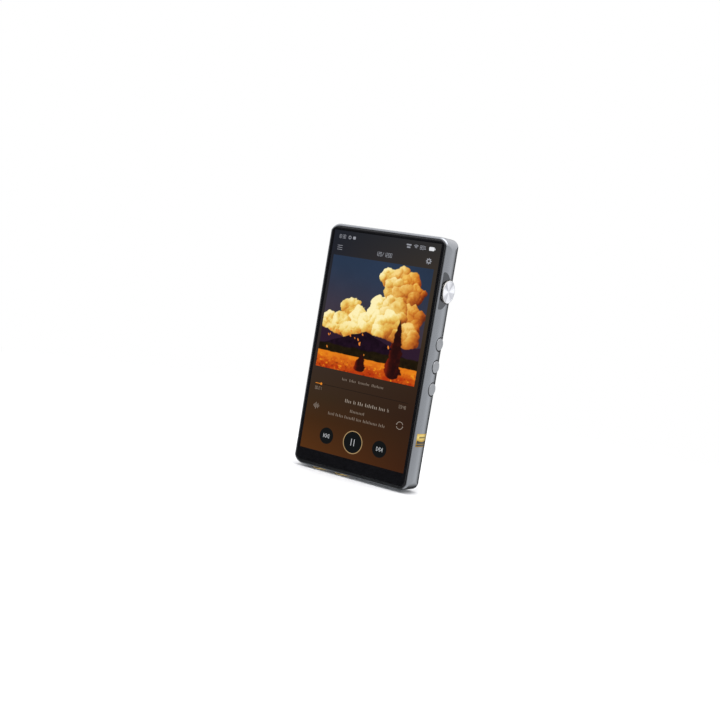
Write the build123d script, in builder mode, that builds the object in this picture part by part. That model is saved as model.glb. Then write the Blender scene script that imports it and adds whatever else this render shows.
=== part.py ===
"""Pocket digital audio player: metal unibody, two glass faces, side knob, three side buttons.

Frame: X to the right of the screen, -Y out of the screen, +Z up the long side.  x = 0 and y = 0 are
the middle of the width and of the thickness.  z = 0 is the plane through the tips of the two jack
rings, so the upright player stands on it.  Everything is in millimetres.
"""

import os
from math import atan2, cos, degrees, hypot, radians, sin, sqrt

from build123d import *

# ---------------------------------------------------------------- driving dimensions
BODY_WIDTH = 69.6
BODY_HEIGHT = 122.6
BODY_DEPTH = 15.0            # from the front glass to the back glass
BODY_CORNER_RADIUS = 6.0
BACK_CORNER_RADIUS = 4.0     # the corners again, measured where the side has drawn in at the back
RIM_ROUNDING = 1.2           # the metal's front edge, from the glass to the side
BACK_CHAMFER = 0.3           # the metal's back edge at the two ends
BACK_RECESS = 0.1            # metal below the back glass's face
RING_STAND = 1.2             # how far the jack rings stand out below the body

GLASS_PROUD = 0.5            # front glass above the metal rim
FRONT_GLASS_WIDTH = 65.7
FRONT_GLASS_BOTTOM = 3.3
FRONT_GLASS_TOP = 122.2
FRONT_GLASS_CORNER = 2.7
FRONT_GLASS_THICKNESS = 0.8
GLASS_SEAT_GAP = 0.1
DISPLAY_CENTRE_Z = 65.1
DISPLAY_ACTIVE_WIDTH = 62.26
DISPLAY_ACTIVE_HEIGHT = 110.69
PANEL_THICKNESS = 0.9
PANEL_MARGIN = 0.7           # panel round the lit area, and the deeper strip under it
PANEL_CHIN = 4.5
DISPLAY_RECESS_WIDTH = 64.2
DISPLAY_RECESS_SPAN = (4.6, 121.9)

BACK_GLASS_THICKNESS = 0.9
BACK_GLASS_MARGIN = 1.2      # metal strip above and below the back glass
BACK_GLASS_CORNER = 3.0
BACK_SEAT_CORNER = 4.2       # the glass's pocket, which leaves metal between it and the body's corner
BACK_CURVE_X = 29.3          # where the flat back starts to bend down
BACK_CURVE_RADIUS = 3.5
BACK_EDGE_ANGLE = 27.0       # angle of the glass edge on the curve's circle, from +X
GLASS_GAP = 0.15

SIDE_WIDEST_Y = -1.5         # the side's widest line
FRONT_EDGE_X = 34.05         # half width at the front rim
BACK_RIM_X = 32.85           # half width and depth of the metal's back rim
BACK_RIM_Y = 5.5

KNOB_Z = 98.7
KNOB_DIAMETER = 11.2
KNOB_FACE_X = 35.0
KNOB_HEIGHT = 2.0
KNOB_WELL_FLOOR_X = 32.6
KNOB_GAP = 0.25
SCOOP_FLANK = 0.2            # rise of the thumb scoop per millimetre away from the knob's middle
SCOOP_SLOPE = 0.2            # rise of the thumb scoop per millimetre towards the back
SCOOP_FRONT_Y = -6.5
SCOOP_FRONT_X = 32.44

BUTTON_PITCH = 10.95
PLAY_BUTTON_Z = 62.35
BUTTON_DIAMETER = 6.1
BUTTON_FACE_X = 34.95
BUTTON_GAP = 0.28

JACK_Y = 1.0
HEADPHONE_X = -8.2
BALANCED_X = -21.8
JACK_RING_RADIUS = 4.2
HEADPHONE_BORE_RADIUS = 1.8
BALANCED_BORE_RADIUS = 2.25
JACK_CLEARANCE = 0.3         # the plug's room in the moulded body behind the ring

CARD_SLOT_Z = 83.3
CARD_SLOT_Y = 0.3
CARD_SLOT_LENGTH = 17.0
CARD_SLOT_WIDTH = 2.6
CARD_SLOT_DEPTH = 1.4        # the finger groove, before the slot narrows to the card's size
CARD_MOUTH = (1.7, 15.2)

USB_X = 0.0
USB_Y = -0.8
USB_SLOT = (9.5, 3.6)

LABEL_Z = 26.55
LABEL_HEIGHT = 6.4
LABEL_FRONT_Y = -5.95
LABEL_BACK_Y = 3.0

WEB_FRONT_Y = -5.2           # the plate between the display and the electronics
WEB_BACK_Y = -4.4
CAVITY_HALF_WIDTH = 30.4
END_WALL = 3.2
CAVITY_CORNER = 2.5

# ---------------------------------------------------------------- worked-out positions
HALF_WIDTH = BODY_WIDTH / 2
FRONT_Y = -BODY_DEPTH / 2
BACK_Y = BODY_DEPTH / 2
RIM_Y = FRONT_Y + GLASS_PROUD
BODY_BOTTOM = RING_STAND
BODY_TOP = RING_STAND + BODY_HEIGHT
BODY_MIDDLE = (BODY_BOTTOM + BODY_TOP) / 2
CAVITY_BOTTOM = BODY_BOTTOM + END_WALL
CAVITY_TOP = BODY_TOP - END_WALL
GLASS_LEDGE_Y = FRONT_Y + FRONT_GLASS_THICKNESS + GLASS_SEAT_GAP
FRONT_GLASS_MIDDLE = (FRONT_GLASS_TOP + FRONT_GLASS_BOTTOM) / 2
FRONT_GLASS_HEIGHT = FRONT_GLASS_TOP - FRONT_GLASS_BOTTOM
DISPLAY_RECESS_MIDDLE = sum(DISPLAY_RECESS_SPAN) / 2
DISPLAY_RECESS_HEIGHT = DISPLAY_RECESS_SPAN[1] - DISPLAY_RECESS_SPAN[0]
DISPLAY_RECESS_CORNER = 1.5
BACK_CURVE_Y = BACK_Y - BACK_CURVE_RADIUS
BACK_INNER_Y = BACK_Y - BACK_GLASS_THICKNESS
BACK_LEDGE_Y = BACK_INNER_Y - GLASS_SEAT_GAP
KNOB_RADIUS = KNOB_DIAMETER / 2
BUTTON_RADIUS = BUTTON_DIAMETER / 2
BUTTON_HEIGHTS = {
    "previous_button": PLAY_BUTTON_Z + BUTTON_PITCH,
    "play_button": PLAY_BUTTON_Z,
    "next_button": PLAY_BUTTON_Z - BUTTON_PITCH,
}
BUTTON_SPOTS = [(0, height) for height in BUTTON_HEIGHTS.values()]


def side_circle(half_width, depth):
    """Centre x and radius of a side arc that is vertical at the widest line and ends at a point."""
    sideways = HALF_WIDTH - half_width
    lengthways = depth - SIDE_WIDEST_Y
    radius = (sideways**2 + lengthways**2) / (2 * sideways)
    return HALF_WIDTH - radius, radius


FRONT_ARC_X, FRONT_ARC_RADIUS = side_circle(FRONT_EDGE_X, RIM_Y)
BACK_ARC_X, BACK_ARC_RADIUS = side_circle(BACK_RIM_X, BACK_RIM_Y)


def side_point(y, grow=0.0):
    """Point on the right-hand side of the body's section, moved outwards by grow."""
    centre, radius = (FRONT_ARC_X, FRONT_ARC_RADIUS) if y < SIDE_WIDEST_Y else (BACK_ARC_X, BACK_ARC_RADIUS)
    return centre + sqrt((radius + grow) ** 2 - (y - SIDE_WIDEST_Y) ** 2), y


def curve_point(angle, radius):
    """Point on a circle about the centre of the back glass's bent edge."""
    return BACK_CURVE_X + radius * cos(radians(angle)), BACK_CURVE_Y + radius * sin(radians(angle))


def facing_front(y):
    """Plane whose normal points out of the screen, with local axes X and Z."""
    return Plane(origin=(0, y, 0), x_dir=(1, 0, 0), z_dir=(0, -1, 0))


def facing_right(x):
    """Plane whose normal points out of the knob's side, with local axes Y and Z."""
    return Plane(origin=(x, 0, 0), x_dir=(0, 1, 0), z_dir=(1, 0, 0))


def save(piece, name):
    piece.part.label = name
    export_step(piece.part, f"parts/{name}.step")


def plate(x_span, y_span, z_span, corner=0.0, holes=(), hole_radius=0.0):
    """Flat plate parallel to the screen, with rounded corners and round holes at (x, z)."""
    width = x_span[1] - x_span[0]
    height = z_span[1] - z_span[0]
    with BuildPart() as piece:
        with BuildSketch(facing_front(y_span[1])):
            with Locations(((x_span[0] + x_span[1]) / 2, (z_span[0] + z_span[1]) / 2)):
                if corner:
                    RectangleRounded(width, height, corner)
                else:
                    Rectangle(width, height)
            if holes:
                with Locations(*holes):
                    Circle(hole_radius, mode=Mode.SUBTRACT)
        extrude(amount=y_span[1] - y_span[0])
    return piece


def chips(spots, size, y_base, height):
    """Separate rectangular packages on a board: spots are (x, z), size is (width, tall)."""
    with BuildPart() as piece:
        with BuildSketch(facing_front(y_base)):
            with Locations(*spots):
                Rectangle(*size)
        extrude(amount=height)
    return piece


os.makedirs("parts", exist_ok=True)

# ---------------------------------------------------------------- unibody frame
MAIN_SCREW_SPOTS = [(-27.4, 97.4), (-27.4, 117.0), (21.5, 79.0), (21.5, 117.0)]
AUDIO_SCREW_SPOTS = [(-27.8, 36.0), (-15.0, 36.0), (25.0, 36.0), (25.0, 7.5)]
MAIN_BOARD_Y = (0.9, 1.7)
AUDIO_BOARD_Y = (-4.0, -3.2)
SCREW_RADIUS = 0.7
KEY_POCKET_X = 31.9
KEY_POCKET_WIDTH = 8.6
KEY_POCKET_HEIGHT = 2 * BUTTON_PITCH + 9.4
SHAFT_HOLE_RADIUS = 2.5
SEAL_RADIUS = 3.4
SEAL_DEPTH = 0.5
MAIN_BOSS_RADIUS = 2.0
AUDIO_BOSS_RADIUS = 1.8
RIBBON_SLOT_SPOT = (9.0, 9.0)
RIBBON_SLOT = (15.0, 1.6)
THROUGH = 5.0                # longer than any wall that a cut goes through

# Rounding of the long front edges: its circle touches the flat rim and the side's front arc.
rounding_y = RIM_Y + RIM_ROUNDING
rounding_x = FRONT_ARC_X + sqrt((FRONT_ARC_RADIUS - RIM_ROUNDING) ** 2 - (rounding_y - SIDE_WIDEST_Y) ** 2)
touch_scale = FRONT_ARC_RADIUS / hypot(rounding_x - FRONT_ARC_X, rounding_y - SIDE_WIDEST_Y)
touch_point = (
    FRONT_ARC_X + touch_scale * (rounding_x - FRONT_ARC_X),
    SIDE_WIDEST_Y + touch_scale * (rounding_y - SIDE_WIDEST_Y),
)
touch_angle = degrees(atan2(touch_point[1] - rounding_y, touch_point[0] - rounding_x))
rounding_middle = radians((touch_angle - 90) / 2)

# Block with the front view's outline, which rounds the corners and the edges of the two ends.
with BuildPart() as outline_block:
    with BuildSketch(facing_front(BACK_Y)):
        with Locations((0, BODY_MIDDLE)):
            RectangleRounded(BODY_WIDTH, BODY_HEIGHT, BODY_CORNER_RADIUS)
    extrude(amount=BODY_DEPTH - GLASS_PROUD)
    fillet(outline_block.edges().group_by(Axis.Y)[0], RIM_ROUNDING)
    chamfer(outline_block.edges().group_by(Axis.Y)[-1], BACK_CHAMFER)

# Cutter that follows the side from its widest line to the back and rounds one upper corner.
rim_slope = atan2(BACK_RIM_Y - SIDE_WIDEST_Y, BACK_RIM_X - BACK_ARC_X)
trim_end = (BACK_RIM_X - BODY_DEPTH / 2 * sin(rim_slope), BACK_RIM_Y + BODY_DEPTH / 2 * cos(rim_slope))
trim_middle = side_point((BACK_RIM_Y + SIDE_WIDEST_Y) / 2)
trim_waist = BACK_CORNER_RADIUS * (1 - cos(radians(45)))
TRIM_MARGIN = 1.0
with BuildPart() as corner_trim:
    with BuildLine() as trim_path:
        ThreePointArc(
            (HALF_WIDTH, SIDE_WIDEST_Y, BODY_TOP),
            (*trim_middle, BODY_TOP),
            (BACK_RIM_X, BACK_RIM_Y, BODY_TOP),
        )
        Line((BACK_RIM_X, BACK_RIM_Y, BODY_TOP), (*trim_end, BODY_TOP))
    with BuildSketch(Plane(origin=(HALF_WIDTH, SIDE_WIDEST_Y, BODY_TOP), x_dir=(1, 0, 0), z_dir=(0, -1, 0))):
        with BuildLine():
            ThreePointArc((0, -BACK_CORNER_RADIUS), (-trim_waist, -trim_waist), (-BACK_CORNER_RADIUS, 0))
            Polyline(
                (-BACK_CORNER_RADIUS, 0),
                (-BACK_CORNER_RADIUS, TRIM_MARGIN),
                (TRIM_MARGIN, TRIM_MARGIN),
                (TRIM_MARGIN, -BACK_CORNER_RADIUS),
                (0, -BACK_CORNER_RADIUS),
            )
        make_face()
    sweep(path=trim_path.wires()[0])
upper_trims = [corner_trim.part, corner_trim.part.mirror(Plane.YZ)]
lower_trims = [trim.mirror(Plane.XY.offset(BODY_MIDDLE)) for trim in upper_trims]

metal_back_y = BACK_Y - BACK_RECESS
with BuildPart() as unibody_frame:
    with BuildSketch(Plane.XY.offset(BODY_BOTTOM)):
        with BuildLine():
            widest = (HALF_WIDTH, SIDE_WIDEST_Y)
            Line((0, RIM_Y), (rounding_x, RIM_Y))
            ThreePointArc(
                (rounding_x, RIM_Y),
                (
                    rounding_x + RIM_ROUNDING * cos(rounding_middle),
                    rounding_y + RIM_ROUNDING * sin(rounding_middle),
                ),
                touch_point,
            )
            ThreePointArc(touch_point, side_point((touch_point[1] + SIDE_WIDEST_Y) / 2), widest)
            ThreePointArc(widest, side_point((BACK_RIM_Y + SIDE_WIDEST_Y) / 2), (BACK_RIM_X, BACK_RIM_Y))
            ThreePointArc(
                (BACK_RIM_X, BACK_RIM_Y),
                curve_point(52, BACK_CURVE_RADIUS + 0.05),
                (BACK_CURVE_X, metal_back_y),
            )
            Line((BACK_CURVE_X, metal_back_y), (0, metal_back_y))
            mirror(about=Plane.YZ)
        make_face()
    extrude(amount=BODY_HEIGHT)
    add(outline_block.part, mode=Mode.INTERSECT)
    for trim in upper_trims + lower_trims:
        add(trim, mode=Mode.SUBTRACT)

    # Front pocket: a ledge for the glass, and under it the display's own recess.
    with BuildSketch(facing_front(GLASS_LEDGE_Y)):
        with Locations((0, FRONT_GLASS_MIDDLE)):
            RectangleRounded(
                FRONT_GLASS_WIDTH + 2 * GLASS_SEAT_GAP,
                FRONT_GLASS_HEIGHT + 2 * GLASS_SEAT_GAP,
                FRONT_GLASS_CORNER + GLASS_SEAT_GAP,
            )
    extrude(amount=THROUGH, mode=Mode.SUBTRACT)
    with BuildSketch(facing_front(WEB_FRONT_Y)):
        with Locations((0, DISPLAY_RECESS_MIDDLE)):
            RectangleRounded(DISPLAY_RECESS_WIDTH, DISPLAY_RECESS_HEIGHT, DISPLAY_RECESS_CORNER)
    extrude(amount=THROUGH, mode=Mode.SUBTRACT)

    # Cavity for the battery and the boards, open to the back.
    with BuildSketch(facing_front(BACK_Y)):
        with Locations((0, (CAVITY_BOTTOM + CAVITY_TOP) / 2)):
            RectangleRounded(2 * CAVITY_HALF_WIDTH, CAVITY_TOP - CAVITY_BOTTOM, CAVITY_CORNER)
    extrude(amount=BACK_Y - WEB_BACK_Y, mode=Mode.SUBTRACT)

    # Bosses under the main board, and threaded holes for both boards.
    with BuildSketch(facing_front(MAIN_BOARD_Y[0])):
        with Locations(*MAIN_SCREW_SPOTS):
            Circle(MAIN_BOSS_RADIUS)
    extrude(amount=MAIN_BOARD_Y[0] - WEB_BACK_Y)
    with BuildSketch(facing_front(AUDIO_BOARD_Y[0])):
        with Locations(*AUDIO_SCREW_SPOTS):
            Circle(AUDIO_BOSS_RADIUS)
    extrude(amount=AUDIO_BOARD_Y[0] - WEB_BACK_Y)
    with BuildSketch(facing_front(MAIN_BOARD_Y[0])):
        with Locations(*MAIN_SCREW_SPOTS, *AUDIO_SCREW_SPOTS):
            Circle(SCREW_RADIUS)
    extrude(amount=MAIN_BOARD_Y[0] - WEB_FRONT_Y, mode=Mode.SUBTRACT)

    # Slot that lets the display's ribbon through the web.
    with BuildSketch(facing_front(WEB_BACK_Y)):
        with Locations(RIBBON_SLOT_SPOT):
            Rectangle(*RIBBON_SLOT)
    extrude(amount=THROUGH, mode=Mode.SUBTRACT)

# Seat for the back glass: its own section with a little room, and the same rounded corners.
seat_angle = BACK_EDGE_ANGLE - 2.9
seat_radius = BACK_CURVE_RADIUS - BACK_GLASS_THICKNESS - 0.1
with BuildPart() as back_seat:
    with BuildSketch(Plane.XY):
        with BuildLine():
            outside = curve_point(seat_angle, BACK_CURVE_RADIUS + 1.6)
            Line((0, BACK_LEDGE_Y), (BACK_CURVE_X, BACK_LEDGE_Y))
            ThreePointArc(
                (BACK_CURVE_X, BACK_LEDGE_Y),
                curve_point(57, seat_radius),
                curve_point(seat_angle, seat_radius),
            )
            Line(curve_point(seat_angle, seat_radius), outside)
            Line(outside, (outside[0], BACK_Y + 1))
            Line((outside[0], BACK_Y + 1), (0, BACK_Y + 1))
            mirror(about=Plane.YZ)
        make_face()
    extrude(amount=BODY_TOP)
    with BuildSketch(facing_front(BACK_Y + 1)):
        with Locations((0, BODY_MIDDLE)):
            RectangleRounded(
                BODY_WIDTH - 2,
                BODY_HEIGHT - 2 * BACK_GLASS_MARGIN + 2 * GLASS_GAP,
                BACK_SEAT_CORNER,
            )
    extrude(amount=BODY_DEPTH, mode=Mode.INTERSECT)

# Thumb scoop at the knob: a shallow V whose valley rises towards the back.
scoop_outer_x = HALF_WIDTH + 1.5
scoop_back_y = 4.4
with BuildPart() as thumb_scoop:
    for scoop_y in (SCOOP_FRONT_Y, scoop_back_y):
        valley_x = SCOOP_FRONT_X + SCOOP_SLOPE * (scoop_y - SCOOP_FRONT_Y)
        reach = (scoop_outer_x - valley_x) / SCOOP_FLANK
        with BuildSketch(facing_front(scoop_y)):
            with BuildLine():
                Polyline(
                    (valley_x, KNOB_Z),
                    (scoop_outer_x, KNOB_Z + reach),
                    (scoop_outer_x, KNOB_Z - reach),
                    close=True,
                )
            make_face()
    loft(ruled=True)
    with BuildSketch(facing_right(KNOB_WELL_FLOOR_X)):
        with Locations((0, KNOB_Z)):
            Rectangle(20, 60)
    extrude(amount=10, mode=Mode.INTERSECT)

with unibody_frame:
    add(back_seat.part, mode=Mode.SUBTRACT)
    add(thumb_scoop.part, mode=Mode.SUBTRACT)

    # Knob well, seal groove and shaft hole.
    with BuildSketch(facing_right(KNOB_WELL_FLOOR_X)):
        with Locations((0, KNOB_Z)):
            Circle(KNOB_RADIUS + KNOB_GAP)
    extrude(amount=THROUGH, mode=Mode.SUBTRACT)
    with BuildSketch(facing_right(KNOB_WELL_FLOOR_X)):
        with Locations((0, KNOB_Z)):
            Circle(SEAL_RADIUS)
    extrude(amount=-SEAL_DEPTH, mode=Mode.SUBTRACT)
    with BuildSketch(facing_right(KNOB_WELL_FLOOR_X)):
        with Locations((0, KNOB_Z)):
            Circle(SHAFT_HOLE_RADIUS)
    extrude(amount=-THROUGH, mode=Mode.SUBTRACT)

    # Pocket behind the buttons, and their three bores.
    with BuildSketch(facing_right(KEY_POCKET_X)):
        with Locations((0, PLAY_BUTTON_Z)):
            RectangleRounded(KEY_POCKET_WIDTH, KEY_POCKET_HEIGHT, 1.0)
    extrude(amount=-THROUGH, mode=Mode.SUBTRACT)
    with BuildSketch(facing_right(KEY_POCKET_X)):
        with Locations(*BUTTON_SPOTS):
            Circle(BUTTON_RADIUS + BUTTON_GAP)
    extrude(amount=THROUGH, mode=Mode.SUBTRACT)

    # Card slot through the left wall, with a finger groove at its mouth.
    with BuildSketch(facing_right(-HALF_WIDTH - 1)):
        with Locations((CARD_SLOT_Y, CARD_SLOT_Z)):
            SlotOverall(CARD_SLOT_LENGTH, CARD_SLOT_WIDTH, rotation=90)
    extrude(amount=1 + CARD_SLOT_DEPTH, mode=Mode.SUBTRACT)
    with BuildSketch(facing_right(-HALF_WIDTH)):
        with Locations((CARD_SLOT_Y, CARD_SLOT_Z)):
            Rectangle(*CARD_MOUTH)
    extrude(amount=HALF_WIDTH - CAVITY_HALF_WIDTH + 1, mode=Mode.SUBTRACT)

    # Bores for the jack rings, and the charging port's slot in the top.
    with BuildSketch(Plane.XY):
        with Locations((HEADPHONE_X, JACK_Y), (BALANCED_X, JACK_Y)):
            Circle(JACK_RING_RADIUS + 0.05)
    extrude(amount=CAVITY_BOTTOM + 1, mode=Mode.SUBTRACT)
    with BuildSketch(Plane.XY.offset(CAVITY_TOP - 1)):
        with Locations((USB_X, USB_Y)):
            SlotOverall(*USB_SLOT)
    extrude(amount=THROUGH, mode=Mode.SUBTRACT)
save(unibody_frame, "unibody_frame")

# ---------------------------------------------------------------- screen side
front_glass = plate(
    (-FRONT_GLASS_WIDTH / 2, FRONT_GLASS_WIDTH / 2),
    (FRONT_Y, FRONT_Y + FRONT_GLASS_THICKNESS),
    (FRONT_GLASS_BOTTOM, FRONT_GLASS_TOP),
    FRONT_GLASS_CORNER,
)
with front_glass:
    chamfer(front_glass.edges().group_by(Axis.Y)[0], 0.2)
save(front_glass, "front_glass")

PANEL_CORNER = 0.8
panel_front_y = FRONT_Y + FRONT_GLASS_THICKNESS
display_panel = plate(
    (-DISPLAY_ACTIVE_WIDTH / 2 - PANEL_MARGIN, DISPLAY_ACTIVE_WIDTH / 2 + PANEL_MARGIN),
    (panel_front_y, panel_front_y + PANEL_THICKNESS),
    (
        DISPLAY_CENTRE_Z - DISPLAY_ACTIVE_HEIGHT / 2 - PANEL_CHIN,
        DISPLAY_CENTRE_Z + DISPLAY_ACTIVE_HEIGHT / 2 + PANEL_MARGIN,
    ),
    PANEL_CORNER,
)
save(display_panel, "display_panel")

BACKLIGHT_HALF_WIDTH = 31.6
BACKLIGHT_SPAN = (6.6, 121.0)
backlight_unit = plate(
    (-BACKLIGHT_HALF_WIDTH, BACKLIGHT_HALF_WIDTH),
    (panel_front_y + PANEL_THICKNESS, WEB_FRONT_Y - 0.1),
    BACKLIGHT_SPAN,
    PANEL_CORNER,
)
save(backlight_unit, "backlight_unit")

with BuildPart() as display_adhesive:
    with BuildSketch(facing_front(GLASS_LEDGE_Y)):
        with Locations((0, FRONT_GLASS_MIDDLE)):
            RectangleRounded(
                FRONT_GLASS_WIDTH - GLASS_SEAT_GAP, FRONT_GLASS_HEIGHT - GLASS_SEAT_GAP, FRONT_GLASS_CORNER
            )
        with Locations((0, DISPLAY_RECESS_MIDDLE)):
            RectangleRounded(
                DISPLAY_RECESS_WIDTH + GLASS_SEAT_GAP,
                DISPLAY_RECESS_HEIGHT + GLASS_SEAT_GAP,
                DISPLAY_RECESS_CORNER,
                mode=Mode.SUBTRACT,
            )
    extrude(amount=GLASS_SEAT_GAP)
save(display_adhesive, "display_adhesive")

RIBBON_THICKNESS = 0.15
RIBBON_WIDTH = 13.0
ribbon_y = WEB_BACK_Y + 0.1
ribbon_bend_z = RIBBON_SLOT_SPOT[1] - 0.6
ribbon_end_z = 33.0
with BuildPart() as display_ribbon:
    with BuildSketch(facing_right(RIBBON_SLOT_SPOT[0] - RIBBON_WIDTH / 2)):
        with BuildLine():
            Polyline(
                (WEB_FRONT_Y, ribbon_bend_z + RIBBON_THICKNESS),
                (WEB_FRONT_Y, ribbon_bend_z),
                (ribbon_y + RIBBON_THICKNESS, ribbon_bend_z),
                (ribbon_y + RIBBON_THICKNESS, ribbon_end_z),
                (ribbon_y, ribbon_end_z),
                (ribbon_y, ribbon_bend_z + RIBBON_THICKNESS),
                close=True,
            )
        make_face()
    extrude(amount=RIBBON_WIDTH)
save(display_ribbon, "display_ribbon")

# ---------------------------------------------------------------- back glass
BACK_GLASS_BOTTOM = BODY_BOTTOM + BACK_GLASS_MARGIN
BACK_GLASS_HEIGHT = BODY_HEIGHT - 2 * BACK_GLASS_MARGIN


def bent_sheet(outer_radius, thickness, edge_angle, bottom, height, corner):
    """Sheet that is flat across the back and bends down along both long edges."""
    outer_y = BACK_CURVE_Y + outer_radius
    inner_radius = outer_radius - thickness
    middle_angle = (90 + edge_angle) / 2
    with BuildPart() as sheet:
        with BuildSketch(Plane.XY.offset(bottom)):
            with BuildLine():
                Line((0, outer_y), (BACK_CURVE_X, outer_y))
                ThreePointArc(
                    (BACK_CURVE_X, outer_y),
                    curve_point(middle_angle, outer_radius),
                    curve_point(edge_angle, outer_radius),
                )
                Line(curve_point(edge_angle, outer_radius), curve_point(edge_angle, inner_radius))
                ThreePointArc(
                    curve_point(edge_angle, inner_radius),
                    curve_point(middle_angle, inner_radius),
                    (BACK_CURVE_X, outer_y - thickness),
                )
                Line((BACK_CURVE_X, outer_y - thickness), (0, outer_y - thickness))
                mirror(about=Plane.YZ)
            make_face()
        extrude(amount=height)
        reach = 2 * (curve_point(edge_angle, outer_radius)[0] + 0.2)
        with BuildSketch(facing_front(BACK_Y + 1)):
            with Locations((0, BODY_MIDDLE)):
                RectangleRounded(reach, height, corner)
        extrude(amount=BODY_DEPTH, mode=Mode.INTERSECT)
    return sheet


back_glass = bent_sheet(
    BACK_CURVE_RADIUS,
    BACK_GLASS_THICKNESS,
    BACK_EDGE_ANGLE,
    BACK_GLASS_BOTTOM,
    BACK_GLASS_HEIGHT,
    BACK_GLASS_CORNER,
)
save(back_glass, "back_glass")

back_adhesive = bent_sheet(
    BACK_CURVE_RADIUS - BACK_GLASS_THICKNESS,
    0.1,
    BACK_EDGE_ANGLE + 3,
    BACK_GLASS_BOTTOM + 0.3,
    BACK_GLASS_HEIGHT - 0.6,
    BACK_GLASS_CORNER - 0.3,
)
cavity_mouth = plate(
    (-CAVITY_HALF_WIDTH - 0.05, CAVITY_HALF_WIDTH + 0.05),
    (0, BACK_Y),
    (CAVITY_BOTTOM - 0.05, CAVITY_TOP + 0.05),
    2.5,
)
with back_adhesive:
    add(cavity_mouth.part, mode=Mode.SUBTRACT)
save(back_adhesive, "back_adhesive")

save(plate((-28, 26), (6.35, 6.45), (10, 118), 2.0), "graphite_sheet")

# ---------------------------------------------------------------- volume knob and encoder
SHAFT_RADIUS = 1.5
BUSHING_RADIUS = 2.42
KNOB_BACK_X = KNOB_FACE_X - KNOB_HEIGHT
SHAFT_END_X = 26.4
SOCKET_DEPTH = 1.2
knob_axis = (0, KNOB_Z)

with BuildPart() as volume_knob:
    with BuildSketch(facing_right(KNOB_BACK_X)):
        with Locations(knob_axis):
            Circle(KNOB_RADIUS)
    extrude(amount=KNOB_HEIGHT)
    chamfer(volume_knob.edges().group_by(Axis.X)[-1], 0.18)
    with BuildSketch(facing_right(KNOB_BACK_X)):
        with Locations(knob_axis):
            Circle(SHAFT_RADIUS)
    extrude(amount=SOCKET_DEPTH, mode=Mode.SUBTRACT)
    # Shallow dish turned into the face.
    with BuildSketch(facing_right(KNOB_FACE_X)):
        with Locations(knob_axis):
            Circle(KNOB_RADIUS - 0.55)
    extrude(amount=-0.12, mode=Mode.SUBTRACT)
save(volume_knob, "volume_knob")


def round_bar(x_start, x_end, radius, bore=0.0, centre=knob_axis):
    """Round bar or tube along X."""
    with BuildPart() as bar:
        with BuildSketch(facing_right(x_start)):
            with Locations(centre):
                Circle(radius)
                if bore:
                    Circle(bore, mode=Mode.SUBTRACT)
        extrude(amount=x_end - x_start)
    return bar


CLIP_X = (26.7, 27.1)
GROOVE_RADIUS = 1.1
shaft_steps = [
    (SHAFT_END_X, CLIP_X[0], SHAFT_RADIUS),
    (CLIP_X[0], CLIP_X[1], GROOVE_RADIUS),
    (CLIP_X[1], KNOB_BACK_X + SOCKET_DEPTH, SHAFT_RADIUS),
]
with BuildPart() as knob_shaft:
    for step_start, step_end, step_radius in shaft_steps:
        with BuildSketch(facing_right(step_start)):
            with Locations(knob_axis):
                Circle(step_radius)
        extrude(amount=step_end - step_start)
save(knob_shaft, "knob_shaft")

with BuildPart() as shaft_clip:
    with BuildSketch(facing_right(CLIP_X[0])):
        with Locations(knob_axis):
            Circle(2.3)
            Circle(GROOVE_RADIUS, mode=Mode.SUBTRACT)
        with Locations((0, KNOB_Z - 2)):
            Rectangle(1.6, 4, mode=Mode.SUBTRACT)
    extrude(amount=CLIP_X[1] - CLIP_X[0])
save(shaft_clip, "shaft_clip")

save(round_bar(27.2, 32.2, BUSHING_RADIUS, SHAFT_RADIUS + 0.04), "knob_bushing")
knob_seal = round_bar(KNOB_WELL_FLOOR_X - SEAL_DEPTH, KNOB_WELL_FLOOR_X, SEAL_RADIUS, SHAFT_HOLE_RADIUS)
save(knob_seal, "knob_seal")

with BuildPart() as encoder_body:
    with BuildSketch(facing_right(24.6)):
        with Locations(knob_axis):
            RectangleRounded(7.6, 12.0, 0.6)
    extrude(amount=5.5)
    with BuildSketch(facing_right(25.6)):
        with Locations(knob_axis):
            Circle(2.6)
    extrude(amount=4.5, mode=Mode.SUBTRACT)
save(encoder_body, "encoder_body")

with BuildPart() as encoder_bracket:
    with BuildSketch(facing_right(30.1)):
        with Locations(knob_axis):
            Rectangle(7.6, 15.5)
            Circle(SHAFT_HOLE_RADIUS + 0.1, mode=Mode.SUBTRACT)
    extrude(amount=0.3)
    with BuildSketch(facing_right(27.6)):
        with Locations((0, KNOB_Z + 7.6), (0, KNOB_Z - 7.6)):
            Rectangle(7.6, 0.3)
    extrude(amount=2.5)
save(encoder_bracket, "encoder_bracket")

# ---------------------------------------------------------------- side buttons
FLANGE_X = (30.95, 31.5)
FLANGE_RADIUS = 3.8
for button_name, button_z in BUTTON_HEIGHTS.items():
    with BuildPart() as side_button:
        with BuildSketch(facing_right(FLANGE_X[0])):
            with Locations((0, button_z)):
                Circle(FLANGE_RADIUS)
        extrude(amount=FLANGE_X[1] - FLANGE_X[0])
        with BuildSketch(facing_right(FLANGE_X[1])):
            with Locations((0, button_z)):
                Circle(BUTTON_RADIUS)
        extrude(amount=BUTTON_FACE_X - FLANGE_X[1])
        fillet(side_button.edges().group_by(Axis.X)[-1], 0.3)
    save(side_button, button_name)

with BuildPart() as button_gaskets:
    with BuildSketch(facing_right(FLANGE_X[1] + 0.05)):
        with Locations(*BUTTON_SPOTS):
            Circle(3.8)
            Circle(BUTTON_RADIUS + 0.15, mode=Mode.SUBTRACT)
    extrude(amount=KEY_POCKET_X - FLANGE_X[1] - 0.05)
save(button_gaskets, "button_gaskets")

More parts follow.
